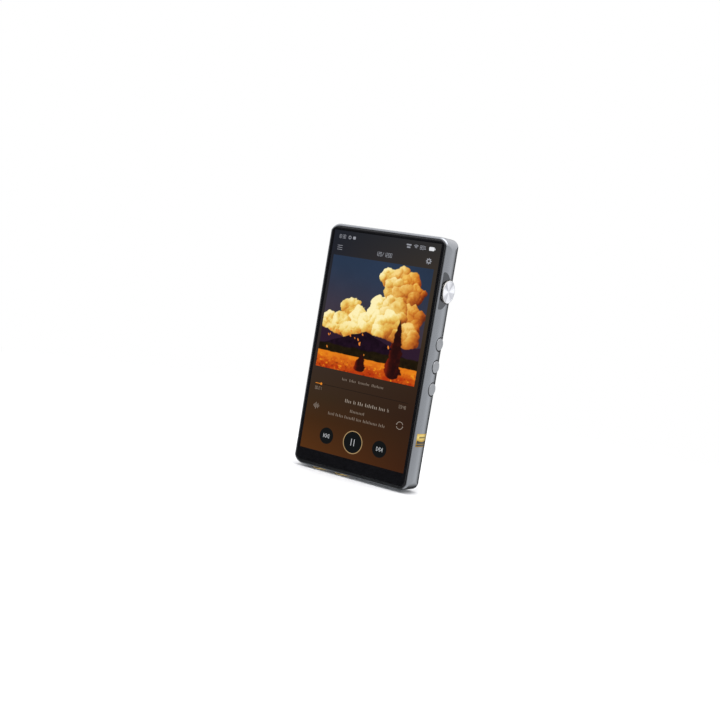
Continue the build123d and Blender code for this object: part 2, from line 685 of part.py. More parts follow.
key_z = (PLAY_BUTTON_Z - 15.0, PLAY_BUTTON_Z + 15.0)
SWITCH_BASE_X = 29.2
with BuildPart() as side_key_board:
    with BuildSketch(facing_right(SWITCH_BASE_X - 0.7)):
        with Locations((0, PLAY_BUTTON_Z)):
            RectangleRounded(7.4, key_z[1] - key_z[0], 0.8)
    extrude(amount=0.7)
save(side_key_board, "side_key_board")

with BuildPart() as key_switches:
    with BuildSketch(facing_right(SWITCH_BASE_X)):
        with Locations(*BUTTON_SPOTS):
            RectangleRounded(4.2, 4.2, 0.4)
    extrude(amount=0.9)
    with BuildSketch(facing_right(SWITCH_BASE_X + 0.9)):
        with Locations(*BUTTON_SPOTS):
            Circle(1.1)
    extrude(amount=0.45)
save(key_switches, "key_switches")

with BuildPart() as key_bracket:
    with BuildSketch(facing_right(27.9)):
        with Locations((0, PLAY_BUTTON_Z)):
            Rectangle(7.8, key_z[1] - key_z[0])
    extrude(amount=0.6)
    with BuildSketch(facing_right(27.9)):
        with Locations((0, key_z[0] - 0.3), (0, key_z[1] + 0.3)):
            Rectangle(7.8, 0.6)
    extrude(amount=2.4)
save(key_bracket, "key_bracket")

# ---------------------------------------------------------------- headphone jacks
RING_FLANGE_Z = (CAVITY_BOTTOM, CAVITY_BOTTOM + 0.6)
JACKS = {
    "headphone_jack": (HEADPHONE_X, HEADPHONE_BORE_RADIUS, 17.5, 15.8),
    "balanced_jack": (BALANCED_X, BALANCED_BORE_RADIUS, 22.0, 20.6),
}
CONTACT_STEP = 3.6
for jack_name, (jack_x, bore_radius, body_top_z, bore_top_z) in JACKS.items():
    jack_axis = (jack_x, JACK_Y)
    with BuildPart() as jack_ring:
        with BuildSketch(Plane.XY):
            with Locations(jack_axis):
                Circle(JACK_RING_RADIUS)
        extrude(amount=CAVITY_BOTTOM)
        chamfer(jack_ring.edges().group_by(Axis.Z)[0], 0.35)
        with BuildSketch(Plane.XY.offset(RING_FLANGE_Z[0])):
            with Locations(jack_axis):
                Circle(JACK_RING_RADIUS + 0.6)
        extrude(amount=RING_FLANGE_Z[1] - RING_FLANGE_Z[0])
        with BuildSketch(Plane.XY):
            with Locations(jack_axis):
                Circle(bore_radius)
        extrude(amount=RING_FLANGE_Z[1], mode=Mode.SUBTRACT)
    save(jack_ring, f"{jack_name}_ring")

    leaf_count = int((bore_top_z - 6) / CONTACT_STEP)
    leaf_rows = [RING_FLANGE_Z[1] + 2.6 + CONTACT_STEP * row for row in range(leaf_count)]
    leaf_x = bore_radius + JACK_CLEARANCE + 0.05
    with BuildPart() as jack_body:
        with BuildSketch(Plane.XY.offset(RING_FLANGE_Z[1])):
            with Locations(jack_axis):
                RectangleRounded(9.6, 8.4, 0.5)
        extrude(amount=body_top_z - RING_FLANGE_Z[1])
        with BuildSketch(Plane.XY.offset(RING_FLANGE_Z[1])):
            with Locations(jack_axis):
                Circle(bore_radius + JACK_CLEARANCE)
        extrude(amount=bore_top_z - RING_FLANGE_Z[1], mode=Mode.SUBTRACT)
        with BuildSketch(facing_front(JACK_Y + 1.0)):
            for side in (-1, 1):
                with Locations(*[(jack_x + side * (leaf_x + 2.0), height) for height in leaf_rows]):
                    Rectangle(4.0, 2.0)
        extrude(amount=2, mode=Mode.SUBTRACT)
    save(jack_body, f"{jack_name}_body")

    with BuildPart() as jack_contacts:
        with BuildSketch(facing_front(JACK_Y + 0.7)):
            for side in (-1, 1):
                with Locations(*[(jack_x + side * (leaf_x + 0.2), height) for height in leaf_rows]):
                    Rectangle(0.3, 1.7)
                with Locations(*[(jack_x + side * (leaf_x + 1.1), height + 0.6) for height in leaf_rows]):
                    Rectangle(1.8, 0.3)
        extrude(amount=1.4)
    save(jack_contacts, f"{jack_name}_contacts")

# ---------------------------------------------------------------- charging port
USB_SHELL_Z = (CAVITY_TOP - 4.6, BODY_TOP - 0.5)
with BuildPart() as usb_shell:
    with BuildSketch(Plane.XY.offset(USB_SHELL_Z[0])):
        with Locations((USB_X, USB_Y)):
            SlotOverall(8.94, 3.26)
    extrude(amount=USB_SHELL_Z[1] - USB_SHELL_Z[0])
    with BuildSketch(Plane.XY.offset(USB_SHELL_Z[0] + 0.6)):
        with Locations((USB_X, USB_Y)):
            SlotOverall(8.34, 2.56)
    extrude(amount=10, mode=Mode.SUBTRACT)
save(usb_shell, "usb_shell")

with BuildPart() as usb_tongue:
    with BuildSketch(Plane.XY.offset(USB_SHELL_Z[0] + 0.6)):
        with Locations((USB_X, USB_Y)):
            Rectangle(6.7, 0.7)
    extrude(amount=5.6)
save(usb_tongue, "usb_tongue")

# ---------------------------------------------------------------- memory card
CARD_Y = (-0.05, 0.65)
CARD_END_X = -HALF_WIDTH + 1.7
CARD_LENGTH = 15.0
card_z = (CARD_SLOT_Z - 5.5, CARD_SLOT_Z + 5.5)
save(plate((CARD_END_X, CARD_END_X + CARD_LENGTH), CARD_Y, card_z, 0.6), "memory_card")
slider_x = CARD_END_X + CARD_LENGTH
with BuildPart() as card_slider:
    with BuildSketch(facing_front(CARD_Y[1])):
        with Locations((slider_x + 0.8, CARD_SLOT_Z)):
            Rectangle(1.6, 11.0)
        with Locations((slider_x - 2.0, card_z[0] - 0.55)):
            Rectangle(7.2, 1.1)
    extrude(amount=CARD_Y[1] - CARD_Y[0])
save(card_slider, "card_slider")

SOCKET_X = (-30.0, slider_x + 4.0)
with BuildPart() as card_socket:
    with BuildSketch(facing_front(MAIN_BOARD_Y[0])):
        with Locations(((SOCKET_X[0] + SOCKET_X[1]) / 2, CARD_SLOT_Z)):
            Rectangle(SOCKET_X[1] - SOCKET_X[0], 15.0)
    extrude(amount=1.5)
    with BuildSketch(facing_front(CARD_Y[1] + 0.08)):
        with Locations(((SOCKET_X[0] + SOCKET_X[1]) / 2 - 0.5, CARD_SLOT_Z)):
            Rectangle(SOCKET_X[1] - SOCKET_X[0], 13.6)
    extrude(amount=CARD_Y[1] - CARD_Y[0] + 0.16, mode=Mode.SUBTRACT)
save(card_socket, "card_socket")

spring_x = slider_x + 2.65    # clear of the slider when the card is pushed in
spring_z = CARD_SLOT_Z - 4.5
with BuildPart() as card_spring:
    with BuildSketch(facing_front(CARD_Y[1] - 0.1)):
        with BuildLine():
            Polyline(*[(spring_x + 0.25 * (turn % 2), spring_z + turn) for turn in range(10)])
        trace(line_width=0.2)
    extrude(amount=0.5)
save(card_spring, "card_spring")

# ---------------------------------------------------------------- battery
battery_cell = plate((-29.0, 26.5), (WEB_BACK_Y + 0.25, 5.6), (41.0, 72.5), 1.5)
with battery_cell:
    fillet(battery_cell.edges().group_by(Axis.Y)[-1], 0.8)
save(battery_cell, "battery_cell")
save(plate((-26, 23.5), (WEB_BACK_Y + 0.05, WEB_BACK_Y + 0.25), (43.0, 70.5)), "battery_adhesive")
save(plate((-12, 16), (0.0, 1.0), (72.7, 74.7)), "battery_board")
save(chips([(-9.0, 76.5)], (7.0, 2.6), -0.2, 1.2), "battery_connector")

# ---------------------------------------------------------------- boards
board_hole = SCREW_RADIUS + 0.05
save(plate((-29.6, 23.8), MAIN_BOARD_Y, (75.4, 119.8), 1.0, MAIN_SCREW_SPOTS, board_hole), "main_board")
save(plate((-29.6, 26.9), AUDIO_BOARD_Y, (5.4, 38.4), 1.0, AUDIO_SCREW_SPOTS, board_hole), "audio_board")

with BuildPart() as board_screws:
    for head_y, spots in ((MAIN_BOARD_Y[1], MAIN_SCREW_SPOTS), (AUDIO_BOARD_Y[1], AUDIO_SCREW_SPOTS)):
        with BuildSketch(facing_front(head_y + 0.6)):
            with Locations(*spots):
                Circle(1.3)
        extrude(amount=0.6)
        with BuildSketch(facing_front(head_y)):
            with Locations(*spots):
                Circle(SCREW_RADIUS)
        extrude(amount=1.8)
save(board_screws, "board_screws")


def shield_can(x_span, z_span, y_base, height):
    """Thin pressed lid, open towards the board."""
    wall = 0.2
    width = x_span[1] - x_span[0]
    tall = z_span[1] - z_span[0]
    middle = ((x_span[0] + x_span[1]) / 2, (z_span[0] + z_span[1]) / 2)
    with BuildPart() as can:
        with BuildSketch(facing_front(y_base + height)):
            with Locations(middle):
                RectangleRounded(width, tall, 0.8)
        extrude(amount=height)
        with BuildSketch(facing_front(y_base + height - wall)):
            with Locations(middle):
                Rectangle(width - 2 * wall, tall - 2 * wall)
        extrude(amount=height, mode=Mode.SUBTRACT)
    return can


board_back = MAIN_BOARD_Y[1]
save(shield_can((-14.0, 14.0), (92.0, 114.0), board_back, 2.4), "processor_shield")
save(chips([(-4.0, 103.0)], (13.0, 13.0), board_back + 1.2, 1.2), "processor_chip")
save(chips([(8.5, 107.5), (8.5, 98.0)], (7.5, 8.0), board_back + 1.0, 1.0), "memory_chips")
save(chips([(18.2, 90.0)], (6.0, 6.0), board_back + 0.9, 0.9), "power_chip")
save(chips([(-21.0, 86.0), (-12.0, 86.0)], (6.5, 6.5), board_back + 1.0, 1.0), "converter_chips")
save(chips([(-25.5, 93.0), (-20.5, 93.0)], (3.2, 2.5), board_back + 1.1, 1.1), "clock_oscillators")
save(chips([(-22.0, 104.5)], (9.0, 9.0), board_back + 1.4, 1.4), "radio_module")

audio_back = AUDIO_BOARD_Y[1]
amplifier_spots = [(2.0, 31.0), (12.0, 31.0), (2.0, 22.0), (12.0, 22.0)]
save(chips(amplifier_spots, (5.0, 5.0), audio_back + 1.2, 1.2), "amplifier_chips")
save(shield_can((-2.5, 16.5), (17.5, 35.5), audio_back, 2.4), "amplifier_shield")

with BuildPart() as audio_capacitors:
    with BuildSketch(facing_front(audio_back + 5.5)):
        with Locations((21.5, 29.0), (21.5, 21.5), (21.5, 14.0)):
            Circle(3.0)
    extrude(amount=5.5)
save(audio_capacitors, "audio_capacitors")
save(chips([(3.0, 10.5), (11.0, 10.5)], (5.0, 4.0), audio_back + 2.0, 2.0), "output_relays")

ribbon_half = 0.06
with BuildPart() as board_ribbon:
    with BuildSketch(facing_right(-24)):
        with BuildLine():
            Polyline(
                (audio_back + ribbon_half, 32.5),
                (audio_back + ribbon_half, 39.2),
                (5.95, 39.2),
                (5.95, 74.8),
                (board_back + ribbon_half, 74.8),
                (board_back + ribbon_half, 80.0),
            )
        trace(line_width=2 * ribbon_half)
    extrude(amount=5.0)
save(board_ribbon, "board_ribbon")
save(plate((6.0, 22.0), (6.1, 6.25), (108.0, 119.0), 0.8), "antenna_sheet")

# ---------------------------------------------------------------- side label
LABEL_THICKNESS = 0.06
with BuildPart() as side_label:
    with BuildSketch(Plane.XY.offset(LABEL_Z - LABEL_HEIGHT / 2)):
        with BuildLine():
            for grow in (0.0, LABEL_THICKNESS):
                label_front = side_point(LABEL_FRONT_Y, grow)
                label_back = side_point(LABEL_BACK_Y, grow)
                label_middle = (HALF_WIDTH + grow, SIDE_WIDEST_Y)
                front_bend = side_point((LABEL_FRONT_Y + SIDE_WIDEST_Y) / 2, grow)
                back_bend = side_point((LABEL_BACK_Y + SIDE_WIDEST_Y) / 2, grow)
                ThreePointArc(label_front, front_bend, label_middle)
                ThreePointArc(label_middle, back_bend, label_back)
            Line(side_point(LABEL_FRONT_Y), side_point(LABEL_FRONT_Y, LABEL_THICKNESS))
            Line(side_point(LABEL_BACK_Y), side_point(LABEL_BACK_Y, LABEL_THICKNESS))
        make_face()
    extrude(amount=LABEL_HEIGHT)
save(side_label, "side_label")
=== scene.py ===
"""Looks of a pocket digital audio player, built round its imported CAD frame.

Frame: X to the right of the screen, -Y out of the screen, +Z up.  Sizes in this file are in
millimetres, and MM turns them into the frame's metres.
"""

from math import cos, pi, radians, sin, tau

import bpy
import numpy as np
from mathutils import Matrix, Vector


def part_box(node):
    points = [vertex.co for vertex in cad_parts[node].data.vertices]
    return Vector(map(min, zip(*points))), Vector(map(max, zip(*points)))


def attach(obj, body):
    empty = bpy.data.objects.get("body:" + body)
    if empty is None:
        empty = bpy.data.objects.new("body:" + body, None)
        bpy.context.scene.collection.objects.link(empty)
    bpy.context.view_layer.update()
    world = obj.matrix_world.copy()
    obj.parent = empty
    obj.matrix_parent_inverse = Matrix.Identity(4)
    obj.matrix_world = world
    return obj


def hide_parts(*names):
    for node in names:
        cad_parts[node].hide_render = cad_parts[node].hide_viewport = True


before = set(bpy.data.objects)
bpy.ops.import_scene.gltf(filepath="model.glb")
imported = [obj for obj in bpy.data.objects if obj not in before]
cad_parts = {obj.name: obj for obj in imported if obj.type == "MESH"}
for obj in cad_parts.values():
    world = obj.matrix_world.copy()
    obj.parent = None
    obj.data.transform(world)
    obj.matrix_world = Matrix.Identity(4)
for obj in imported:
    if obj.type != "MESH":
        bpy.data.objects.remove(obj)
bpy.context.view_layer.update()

MM = 0.001


def node_span(node):
    """Lowest and highest corner of a CAD node, in millimetres."""
    low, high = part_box(node)
    return low / MM, high / MM


GLASS_LOW, GLASS_HIGH = node_span("front_glass")
PANEL_LOW, PANEL_HIGH = node_span("display_panel")
KNOB_LOW, KNOB_HIGH = node_span("volume_knob")
LABEL_LOW, LABEL_HIGH = node_span("side_label")
BODY_LOW, BODY_HIGH = node_span("unibody_frame")
KEY_NODES = ("previous_button", "play_button", "next_button")
KEY_HEIGHTS = [sum(corner.z for corner in node_span(node)) / 2 for node in KEY_NODES]

# The lit area sits in the panel with an even margin at the sides and top and a deep chin below.
PANEL_MARGIN = 0.7
PANEL_CHIN = 4.5
SCREEN_WIDTH = PANEL_HIGH.x - PANEL_LOW.x - 2 * PANEL_MARGIN
SCREEN_HEIGHT = PANEL_HIGH.z - PANEL_LOW.z - PANEL_MARGIN - PANEL_CHIN
SCREEN_Z = PANEL_LOW.z + PANEL_CHIN + SCREEN_HEIGHT / 2
KNOB_Z = (KNOB_LOW.z + KNOB_HIGH.z) / 2

# Depths of the thin layers that make the screen, from the back to the front.
BACKGROUND_Y = GLASS_LOW.y + 0.10
PICTURE_Y = GLASS_LOW.y + 0.08
SHAPE_Y = GLASS_LOW.y + 0.06
GLYPH_Y = GLASS_LOW.y + 0.04

# Thumb scoop of the body, whose metal gets a painted shade: a V whose valley rises towards the back, down to a
# flat floor.
SCOOP_VALLEY_X = 32.44
SCOOP_FLOOR_X = 32.6
SCOOP_SLOPE = 0.2
SCOOP_SPAN = (-6.55, 4.45)
SCOOP_TOLERANCE = 0.03

# Radii of the painted shade on the walls of the knob's well and of the key bores; round each key it reaches
# past the bore as a painted dark ring.
KNOB_WELL_SHADE_RADIUS = 5.95
KEY_SHADE_RADIUS = 3.60


# ---------------------------------------------------------------- materials
def srgb(red, green, blue):
    """Linear colour of a display colour given from 0 to 255."""
    scaled = [channel / 255 for channel in (red, green, blue)]
    return tuple(c / 12.92 if c <= 0.04045 else ((c + 0.055) / 1.055) ** 2.4 for c in scaled)


class Finish:
    """A node material under construction, with a method for each kind of node it uses."""

    def __init__(self, name, colour=(0.5, 0.5, 0.5), **sockets):
        self.material = bpy.data.materials.new(name)
        self.material.use_nodes = True
        self.tree = self.material.node_tree
        self.shader = self.tree.nodes["Principled BSDF"]
        self.shader.inputs["Base Color"].default_value = (*colour, 1)
        for socket, value in sockets.items():
            self.shader.inputs[socket.replace("_", " ")].default_value = value

    def node(self, kind, **settings):
        made = self.tree.nodes.new(kind)
        for key, value in settings.items():
            setattr(made, key, value)
        return made

    def feed(self, socket, value):
        """Gives a socket a link, a number or a colour."""
        if isinstance(value, bpy.types.NodeSocket):
            self.tree.links.new(value, socket)
        elif isinstance(value, tuple) and len(value) == 3 and socket.type == "RGBA":
            socket.default_value = (*value, 1)
        else:
            socket.default_value = value

    def drive(self, socket, value):
        self.feed(self.shader.inputs[socket], value)

    def place(self):
        return self.node("ShaderNodeTexCoord").outputs["Object"]

    def axes(self):
        split = self.node("ShaderNodeSeparateXYZ")
        self.feed(split.inputs[0], self.place())
        return split.outputs

    def stretched(self, x, y, z):
        """Object coordinates multiplied by a factor for each axis."""
        mapping = self.node("ShaderNodeMapping")
        self.feed(mapping.inputs["Vector"], self.place())
        mapping.inputs["Scale"].default_value = (x, y, z)
        return mapping.outputs[0]

    def noise(self, pitch, detail=2.0, where=None):
        """Noise whose grains are about pitch millimetres wide."""
        made = self.node("ShaderNodeTexNoise")
        self.feed(made.inputs["Vector"], where or self.place())
        made.inputs["Scale"].default_value = 1 / (pitch * MM)
        made.inputs["Detail"].default_value = detail
        return made.outputs["Fac"]

    def math(self, operation, first, second=0.0):
        made = self.node("ShaderNodeMath", operation=operation)
        self.feed(made.inputs[0], first)
        self.feed(made.inputs[1], second)
        return made.outputs[0]

    def span(self, value, low, high, out_low=0.0, out_high=1.0):
        """Maps low to out_low and high to out_high, clamped."""
        made = self.node("ShaderNodeMapRange")
        self.feed(made.inputs["Value"], value)
        ends = {"From Min": low, "From Max": high, "To Min": out_low, "To Max": out_high}
        for socket, number in ends.items():
            made.inputs[socket].default_value = number
        return made.outputs[0]

    def ramp(self, factor, stops):
        made = self.node("ShaderNodeValToRGB")
        elements = made.color_ramp.elements
        for index, (position, colour) in enumerate(stops):
            element = elements[index] if index < 2 else elements.new(position)
            element.position = position
            element.color = (*colour, 1)
        self.feed(made.inputs[0], factor)
        return made.outputs[0]

    def mix(self, factor, first, second, blend="MIX"):
        made = self.node("ShaderNodeMix", data_type="RGBA", blend_type=blend)
        self.feed(made.inputs[0], factor)
        self.feed(made.inputs[6], first)
        self.feed(made.inputs[7], second)
        return made.outputs[2]

    def bump(self, height, depth, strength=1.0):
        """Raises the surface by height times depth millimetres."""
        made = self.node("ShaderNodeBump")
        self.feed(made.inputs["Height"], height)
        made.inputs["Distance"].default_value = depth * MM
        made.inputs["Strength"].default_value = strength
        self.drive("Normal", made.outputs[0])

    def mottle(self, colour, pitch, amount):
        """Base colour that wanders lighter and darker by amount."""
        dark = tuple(c * (1 - amount) for c in colour)
        light = tuple(min(1, c * (1 + amount)) for c in colour)
        self.drive("Base Color", self.mix(self.span(self.noise(pitch), 0.3, 0.7), dark, light))


def worn_finish(name, colour, pitch, amount, roughness, metallic=0.0, grain=0.0, **sockets):
    """Ordinary material: a wandering colour and roughness, with a fine grain if it has one."""
    finish = Finish(name, colour, Metallic=metallic, **sockets)
    finish.mottle(colour, pitch, amount)
    patches = finish.noise(pitch * 0.6)
    finish.drive("Roughness", finish.span(patches, 0.3, 0.7, roughness * 0.85, roughness * 1.15))
    if grain:
        finish.bump(finish.noise(pitch * 0.08, 3), grain)
    return finish.material


def bore_shade_mask(finish):
    """Mask of painted shade: 1 on the walls of the knob's well and of the key bores and on their rims, 0
    elsewhere.
    """
    x, y, z = finish.axes()
    right_side = finish.math("GREATER_THAN", x, 0.0)
    across = finish.math("MULTIPLY", y, y)
    holes = [(height, KEY_SHADE_RADIUS) for height in KEY_HEIGHTS] + [(KNOB_Z, KNOB_WELL_SHADE_RADIUS)]
    whole = 0.0
    for height, radius in holes:
        rise = finish.math("SUBTRACT", z, height * MM)
        squares = finish.math("ADD", across, finish.math("MULTIPLY", rise, rise))
        whole = finish.math("MAXIMUM", whole, finish.math("LESS_THAN", squares, (radius * MM) ** 2))
    return finish.math("MULTIPLY", whole, right_side)


def scoop_shade_mask(finish):
    """Mask of painted shade: 1 on the two facets and the floor of the thumb scoop, 0 elsewhere."""
    x, y, z = finish.axes()
    rise = finish.math("ABSOLUTE", finish.math("SUBTRACT", z, KNOB_Z * MM))
    back = finish.math("SUBTRACT", y, SCOOP_SPAN[0] * MM)
    climb = finish.math("MULTIPLY", finish.math("ADD", rise, back), SCOOP_SLOPE)
    facet = finish.math("MAXIMUM", finish.math("ADD", climb, SCOOP_VALLEY_X * MM), SCOOP_FLOOR_X * MM)
    away = finish.math("ABSOLUTE", finish.math("SUBTRACT", x, facet))
    near = finish.math("LESS_THAN", away, SCOOP_TOLERANCE * MM)
    after = finish.math("GREATER_THAN", y, SCOOP_SPAN[0] * MM)
    before = finish.math("LESS_THAN", y, SCOOP_SPAN[1] * MM)
    return finish.math("MULTIPLY", near, finish.math("MULTIPLY", after, before))


def anodised_metal():
    """Bead-blasted blue-grey anodised aluminium, with painted shade in the thumb scoop and in and round the
    bores.
    """
    finish = Finish("anodised_metal", Metallic=1.0)
    blasted = finish.noise(0.16, 2)
    cloudy = finish.span(finish.noise(22, 2), 0.3, 0.7)
    body = finish.mix(cloudy, (0.272, 0.282, 0.302), (0.292, 0.302, 0.322))
    grained = finish.mix(finish.span(blasted, 0.25, 0.75), finish.mix(0.05, body, (0, 0, 0)), body)
    # Painted shade: the scoop is darkened most of the way to near-black, and the bore walls and a ring round
    # each key are painted near-black.
    scoop_shaded = finish.mix(finish.math("MULTIPLY", scoop_shade_mask(finish), 0.62), grained, (0.004, 0.004, 0.005))
    finish.drive("Base Color", finish.mix(bore_shade_mask(finish), scoop_shaded, (0.012, 0.012, 0.013)))
    finish.drive("Roughness", finish.span(finish.noise(9, 3), 0.3, 0.7, 0.23, 0.29))
    finish.bump(blasted, 0.003, 0.4)
    return finish.material


def spun_face_painted_streaks():
    """Spun bright metal: highlights stream out from the axis, from its anisotropic gloss and from painted
    highlight streaks in its base colour, and fine rings catch the light.
    """
    finish = Finish("spun_metal_painted_streaks", Metallic=1.0, Roughness=0.2, Anisotropic=0.85)
    tangent = finish.node("ShaderNodeTangent", direction_type="RADIAL", axis="X")
    finish.drive("Tangent", tangent.outputs[0])
    _, y, z = finish.axes()
    height = finish.math("SUBTRACT", z, KNOB_Z * MM)
    squares = finish.math("ADD", finish.math("MULTIPLY", y, y), finish.math("MULTIPLY", height, height))
    turn = finish.math("ARCTAN2", height, y)
    wander = finish.node("ShaderNodeTexNoise", noise_dimensions="1D")
    finish.feed(wander.inputs["W"], turn)
    wander.inputs["Scale"].default_value = 2.2
    wander.inputs["Detail"].default_value = 4
    # Painted highlights: four lobes round the axis and a wandering pattern make bright and dark streaks in the
    # base colour.
    highlight_lobes = finish.math("SINE", finish.math("ADD", finish.math("MULTIPLY", turn, 4), 0.9))
    streaks = finish.math("ADD", finish.math("MULTIPLY", highlight_lobes, 0.16), wander.outputs["Fac"])
    colour = finish.mix(finish.span(streaks, 0.28, 0.62), (0.44, 0.44, 0.47), (0.80, 0.80, 0.83))
    finish.drive("Base Color", colour)
    rings = finish.node("ShaderNodeTexNoise", noise_dimensions="1D")
    finish.feed(rings.inputs["W"], finish.math("SQRT", squares))
    rings.inputs["Scale"].default_value = 1 / (0.09 * MM)
    rings.inputs["Detail"].default_value = 3
    finish.bump(rings.outputs["Fac"], 0.003)
    return finish.material


def side_bright_metal():
    """Bright metal of the knob's wall, slightly warm, with a turned grain round it."""
    finish = Finish("turned_metal", Metallic=1.0, Roughness=0.18)
    lines = finish.noise(0.12, 2, finish.stretched(1, 0.02, 0.02))
    finish.mottle((0.56, 0.54, 0.51), 2.0, 0.05)
    finish.bump(lines, 0.003)
    return finish.material


def button_metal():
    finish = Finish("button_metal", Metallic=1.0)
    finish.mottle((0.300, 0.306, 0.320), 3.0, 0.06)
    finish.drive("Roughness", finish.span(finish.noise(2, 3), 0.3, 0.7, 0.26, 0.34))
    finish.bump(finish.noise(0.12, 2), 0.004, 0.6)
    return finish.material


def gold_metal(name, colour, roughness):
    finish = Finish(name, Metallic=1.0)
    finish.mottle(colour, 1.6, 0.07)
    finish.drive("Roughness", finish.span(finish.noise(1.2, 3), 0.3, 0.7, roughness * 0.8, roughness * 1.2))
    finish.bump(finish.noise(0.08, 2, finish.stretched(1, 1, 0.1)), 0.002, 0.6)
    return finish.material


def border_black():
    """Black mask seen through the cover glass."""
    finish = Finish("masked_glass", (0.004, 0.004, 0.005), IOR=1.5)
    finish.mottle((0.004, 0.004, 0.005), 8, 0.15)
    finish.drive("Roughness", finish.span(finish.noise(14, 3), 0.35, 0.75, 0.03, 0.07))
    return finish.material


def back_glass_dark():
    """Dark mirror-coated glass, lighter and warmer at the top and darker and bluer at the bottom."""
    finish = Finish("back_glass_dark", IOR=1.52, Coat_Weight=1.0, Coat_Roughness=0.03)
    height = finish.span(finish.axes()[2], BODY_LOW.z * MM, BODY_HIGH.z * MM)
    top_to_bottom_tone = finish.ramp(
        height,
        [
            (0.0, srgb(58, 62, 74)), (0.45, srgb(64, 66, 74)),
            (0.75, srgb(76, 74, 74)), (1.0, srgb(92, 88, 84)),
        ],
    )
    speckle = finish.span(finish.noise(0.25, 2), 0.35, 0.65, 0.96, 1.04)
    finish.drive("Base Color", finish.mix(1.0, top_to_bottom_tone, speckle, "MULTIPLY"))
    finish.drive("Metallic", 0.35)
    finish.drive("Roughness", finish.span(finish.noise(30, 1), 0.0, 1.0, 0.22, 0.28))
    return finish.material


# Heights of the label's parts above its lower edge, its inset from its upper edge, and half widths.
LABEL_SPLIT = 2.5
LABEL_BOW = 0.9
LABEL_FOOT = 0.45
LABEL_STRIPE = 1.35
LABEL_STRIPE_HALF = 0.16
LABEL_BAND_DROP = 1.75
LABEL_BAND_HALF = 0.42
LABEL_FRAME_SHARE = 0.9
LABEL_BAND_SHARE = 0.62


def strip_mask(finish, height, middle, half):
    """1 within half of the middle height, 0 elsewhere, in millimetres."""
    away = finish.math("ABSOLUTE", finish.math("SUBTRACT", height, middle * MM))
    return finish.math("LESS_THAN", away, half * MM)


def label_foil():
    """Two-tone foil: gold above a bowed line, black with a gold frame below; the gold has a painted sheen, a
    bright band across its upper part.
    """
    finish = Finish("label_foil", Roughness=0.32)
    _, y, z = finish.axes()
    middle = (LABEL_LOW.y + LABEL_HIGH.y) / 2 * MM
    half = (LABEL_HIGH.y - LABEL_LOW.y) / 2 * MM
    across = finish.math("DIVIDE", finish.math("SUBTRACT", y, middle), half)
    bow = finish.math("MULTIPLY", finish.math("MULTIPLY", across, across), LABEL_BOW * MM)
    split = finish.math("ADD", bow, (LABEL_LOW.z + LABEL_SPLIT) * MM)
    gold = finish.math("GREATER_THAN", z, split)
    edge = finish.math("GREATER_THAN", finish.math("ABSOLUTE", across), LABEL_FRAME_SHARE)
    low = finish.math("LESS_THAN", z, (LABEL_LOW.z + LABEL_FOOT) * MM)
    stripe = strip_mask(finish, z, LABEL_LOW.z + LABEL_STRIPE, LABEL_STRIPE_HALF)
    band = strip_mask(finish, z, LABEL_HIGH.z - LABEL_BAND_DROP, LABEL_BAND_HALF)
    inner = finish.math("LESS_THAN", finish.math("ABSOLUTE", across), LABEL_BAND_SHARE)
    dark_band = finish.math("MULTIPLY", finish.math("MULTIPLY", band, inner), 0.75)
    is_gold = finish.math("MAXIMUM", gold, finish.math("MAXIMUM", edge, finish.math("MAXIMUM", low, stripe)))
    # Painted sheen: the gold is darker at the foot and brightest three quarters of the way up, a painted
    # highlight.
    painted_sheen = finish.ramp(
        finish.span(z, LABEL_LOW.z * MM, LABEL_HIGH.z * MM),
        [
            (0.0, srgb(140, 106, 40)), (0.45, srgb(186, 150, 62)),
            (0.75, srgb(238, 214, 130)), (1.0, srgb(206, 170, 84)),
        ],
    )
    printed = finish.mix(is_gold, srgb(16, 13, 8), painted_sheen)
    finish.drive("Base Color", finish.mix(dark_band, printed, srgb(70, 52, 10)))
    finish.drive("Metallic", finish.math("MULTIPLY", is_gold, 0.85))
    finish.bump(finish.noise(0.2, 2), 0.004)
    return finish.material


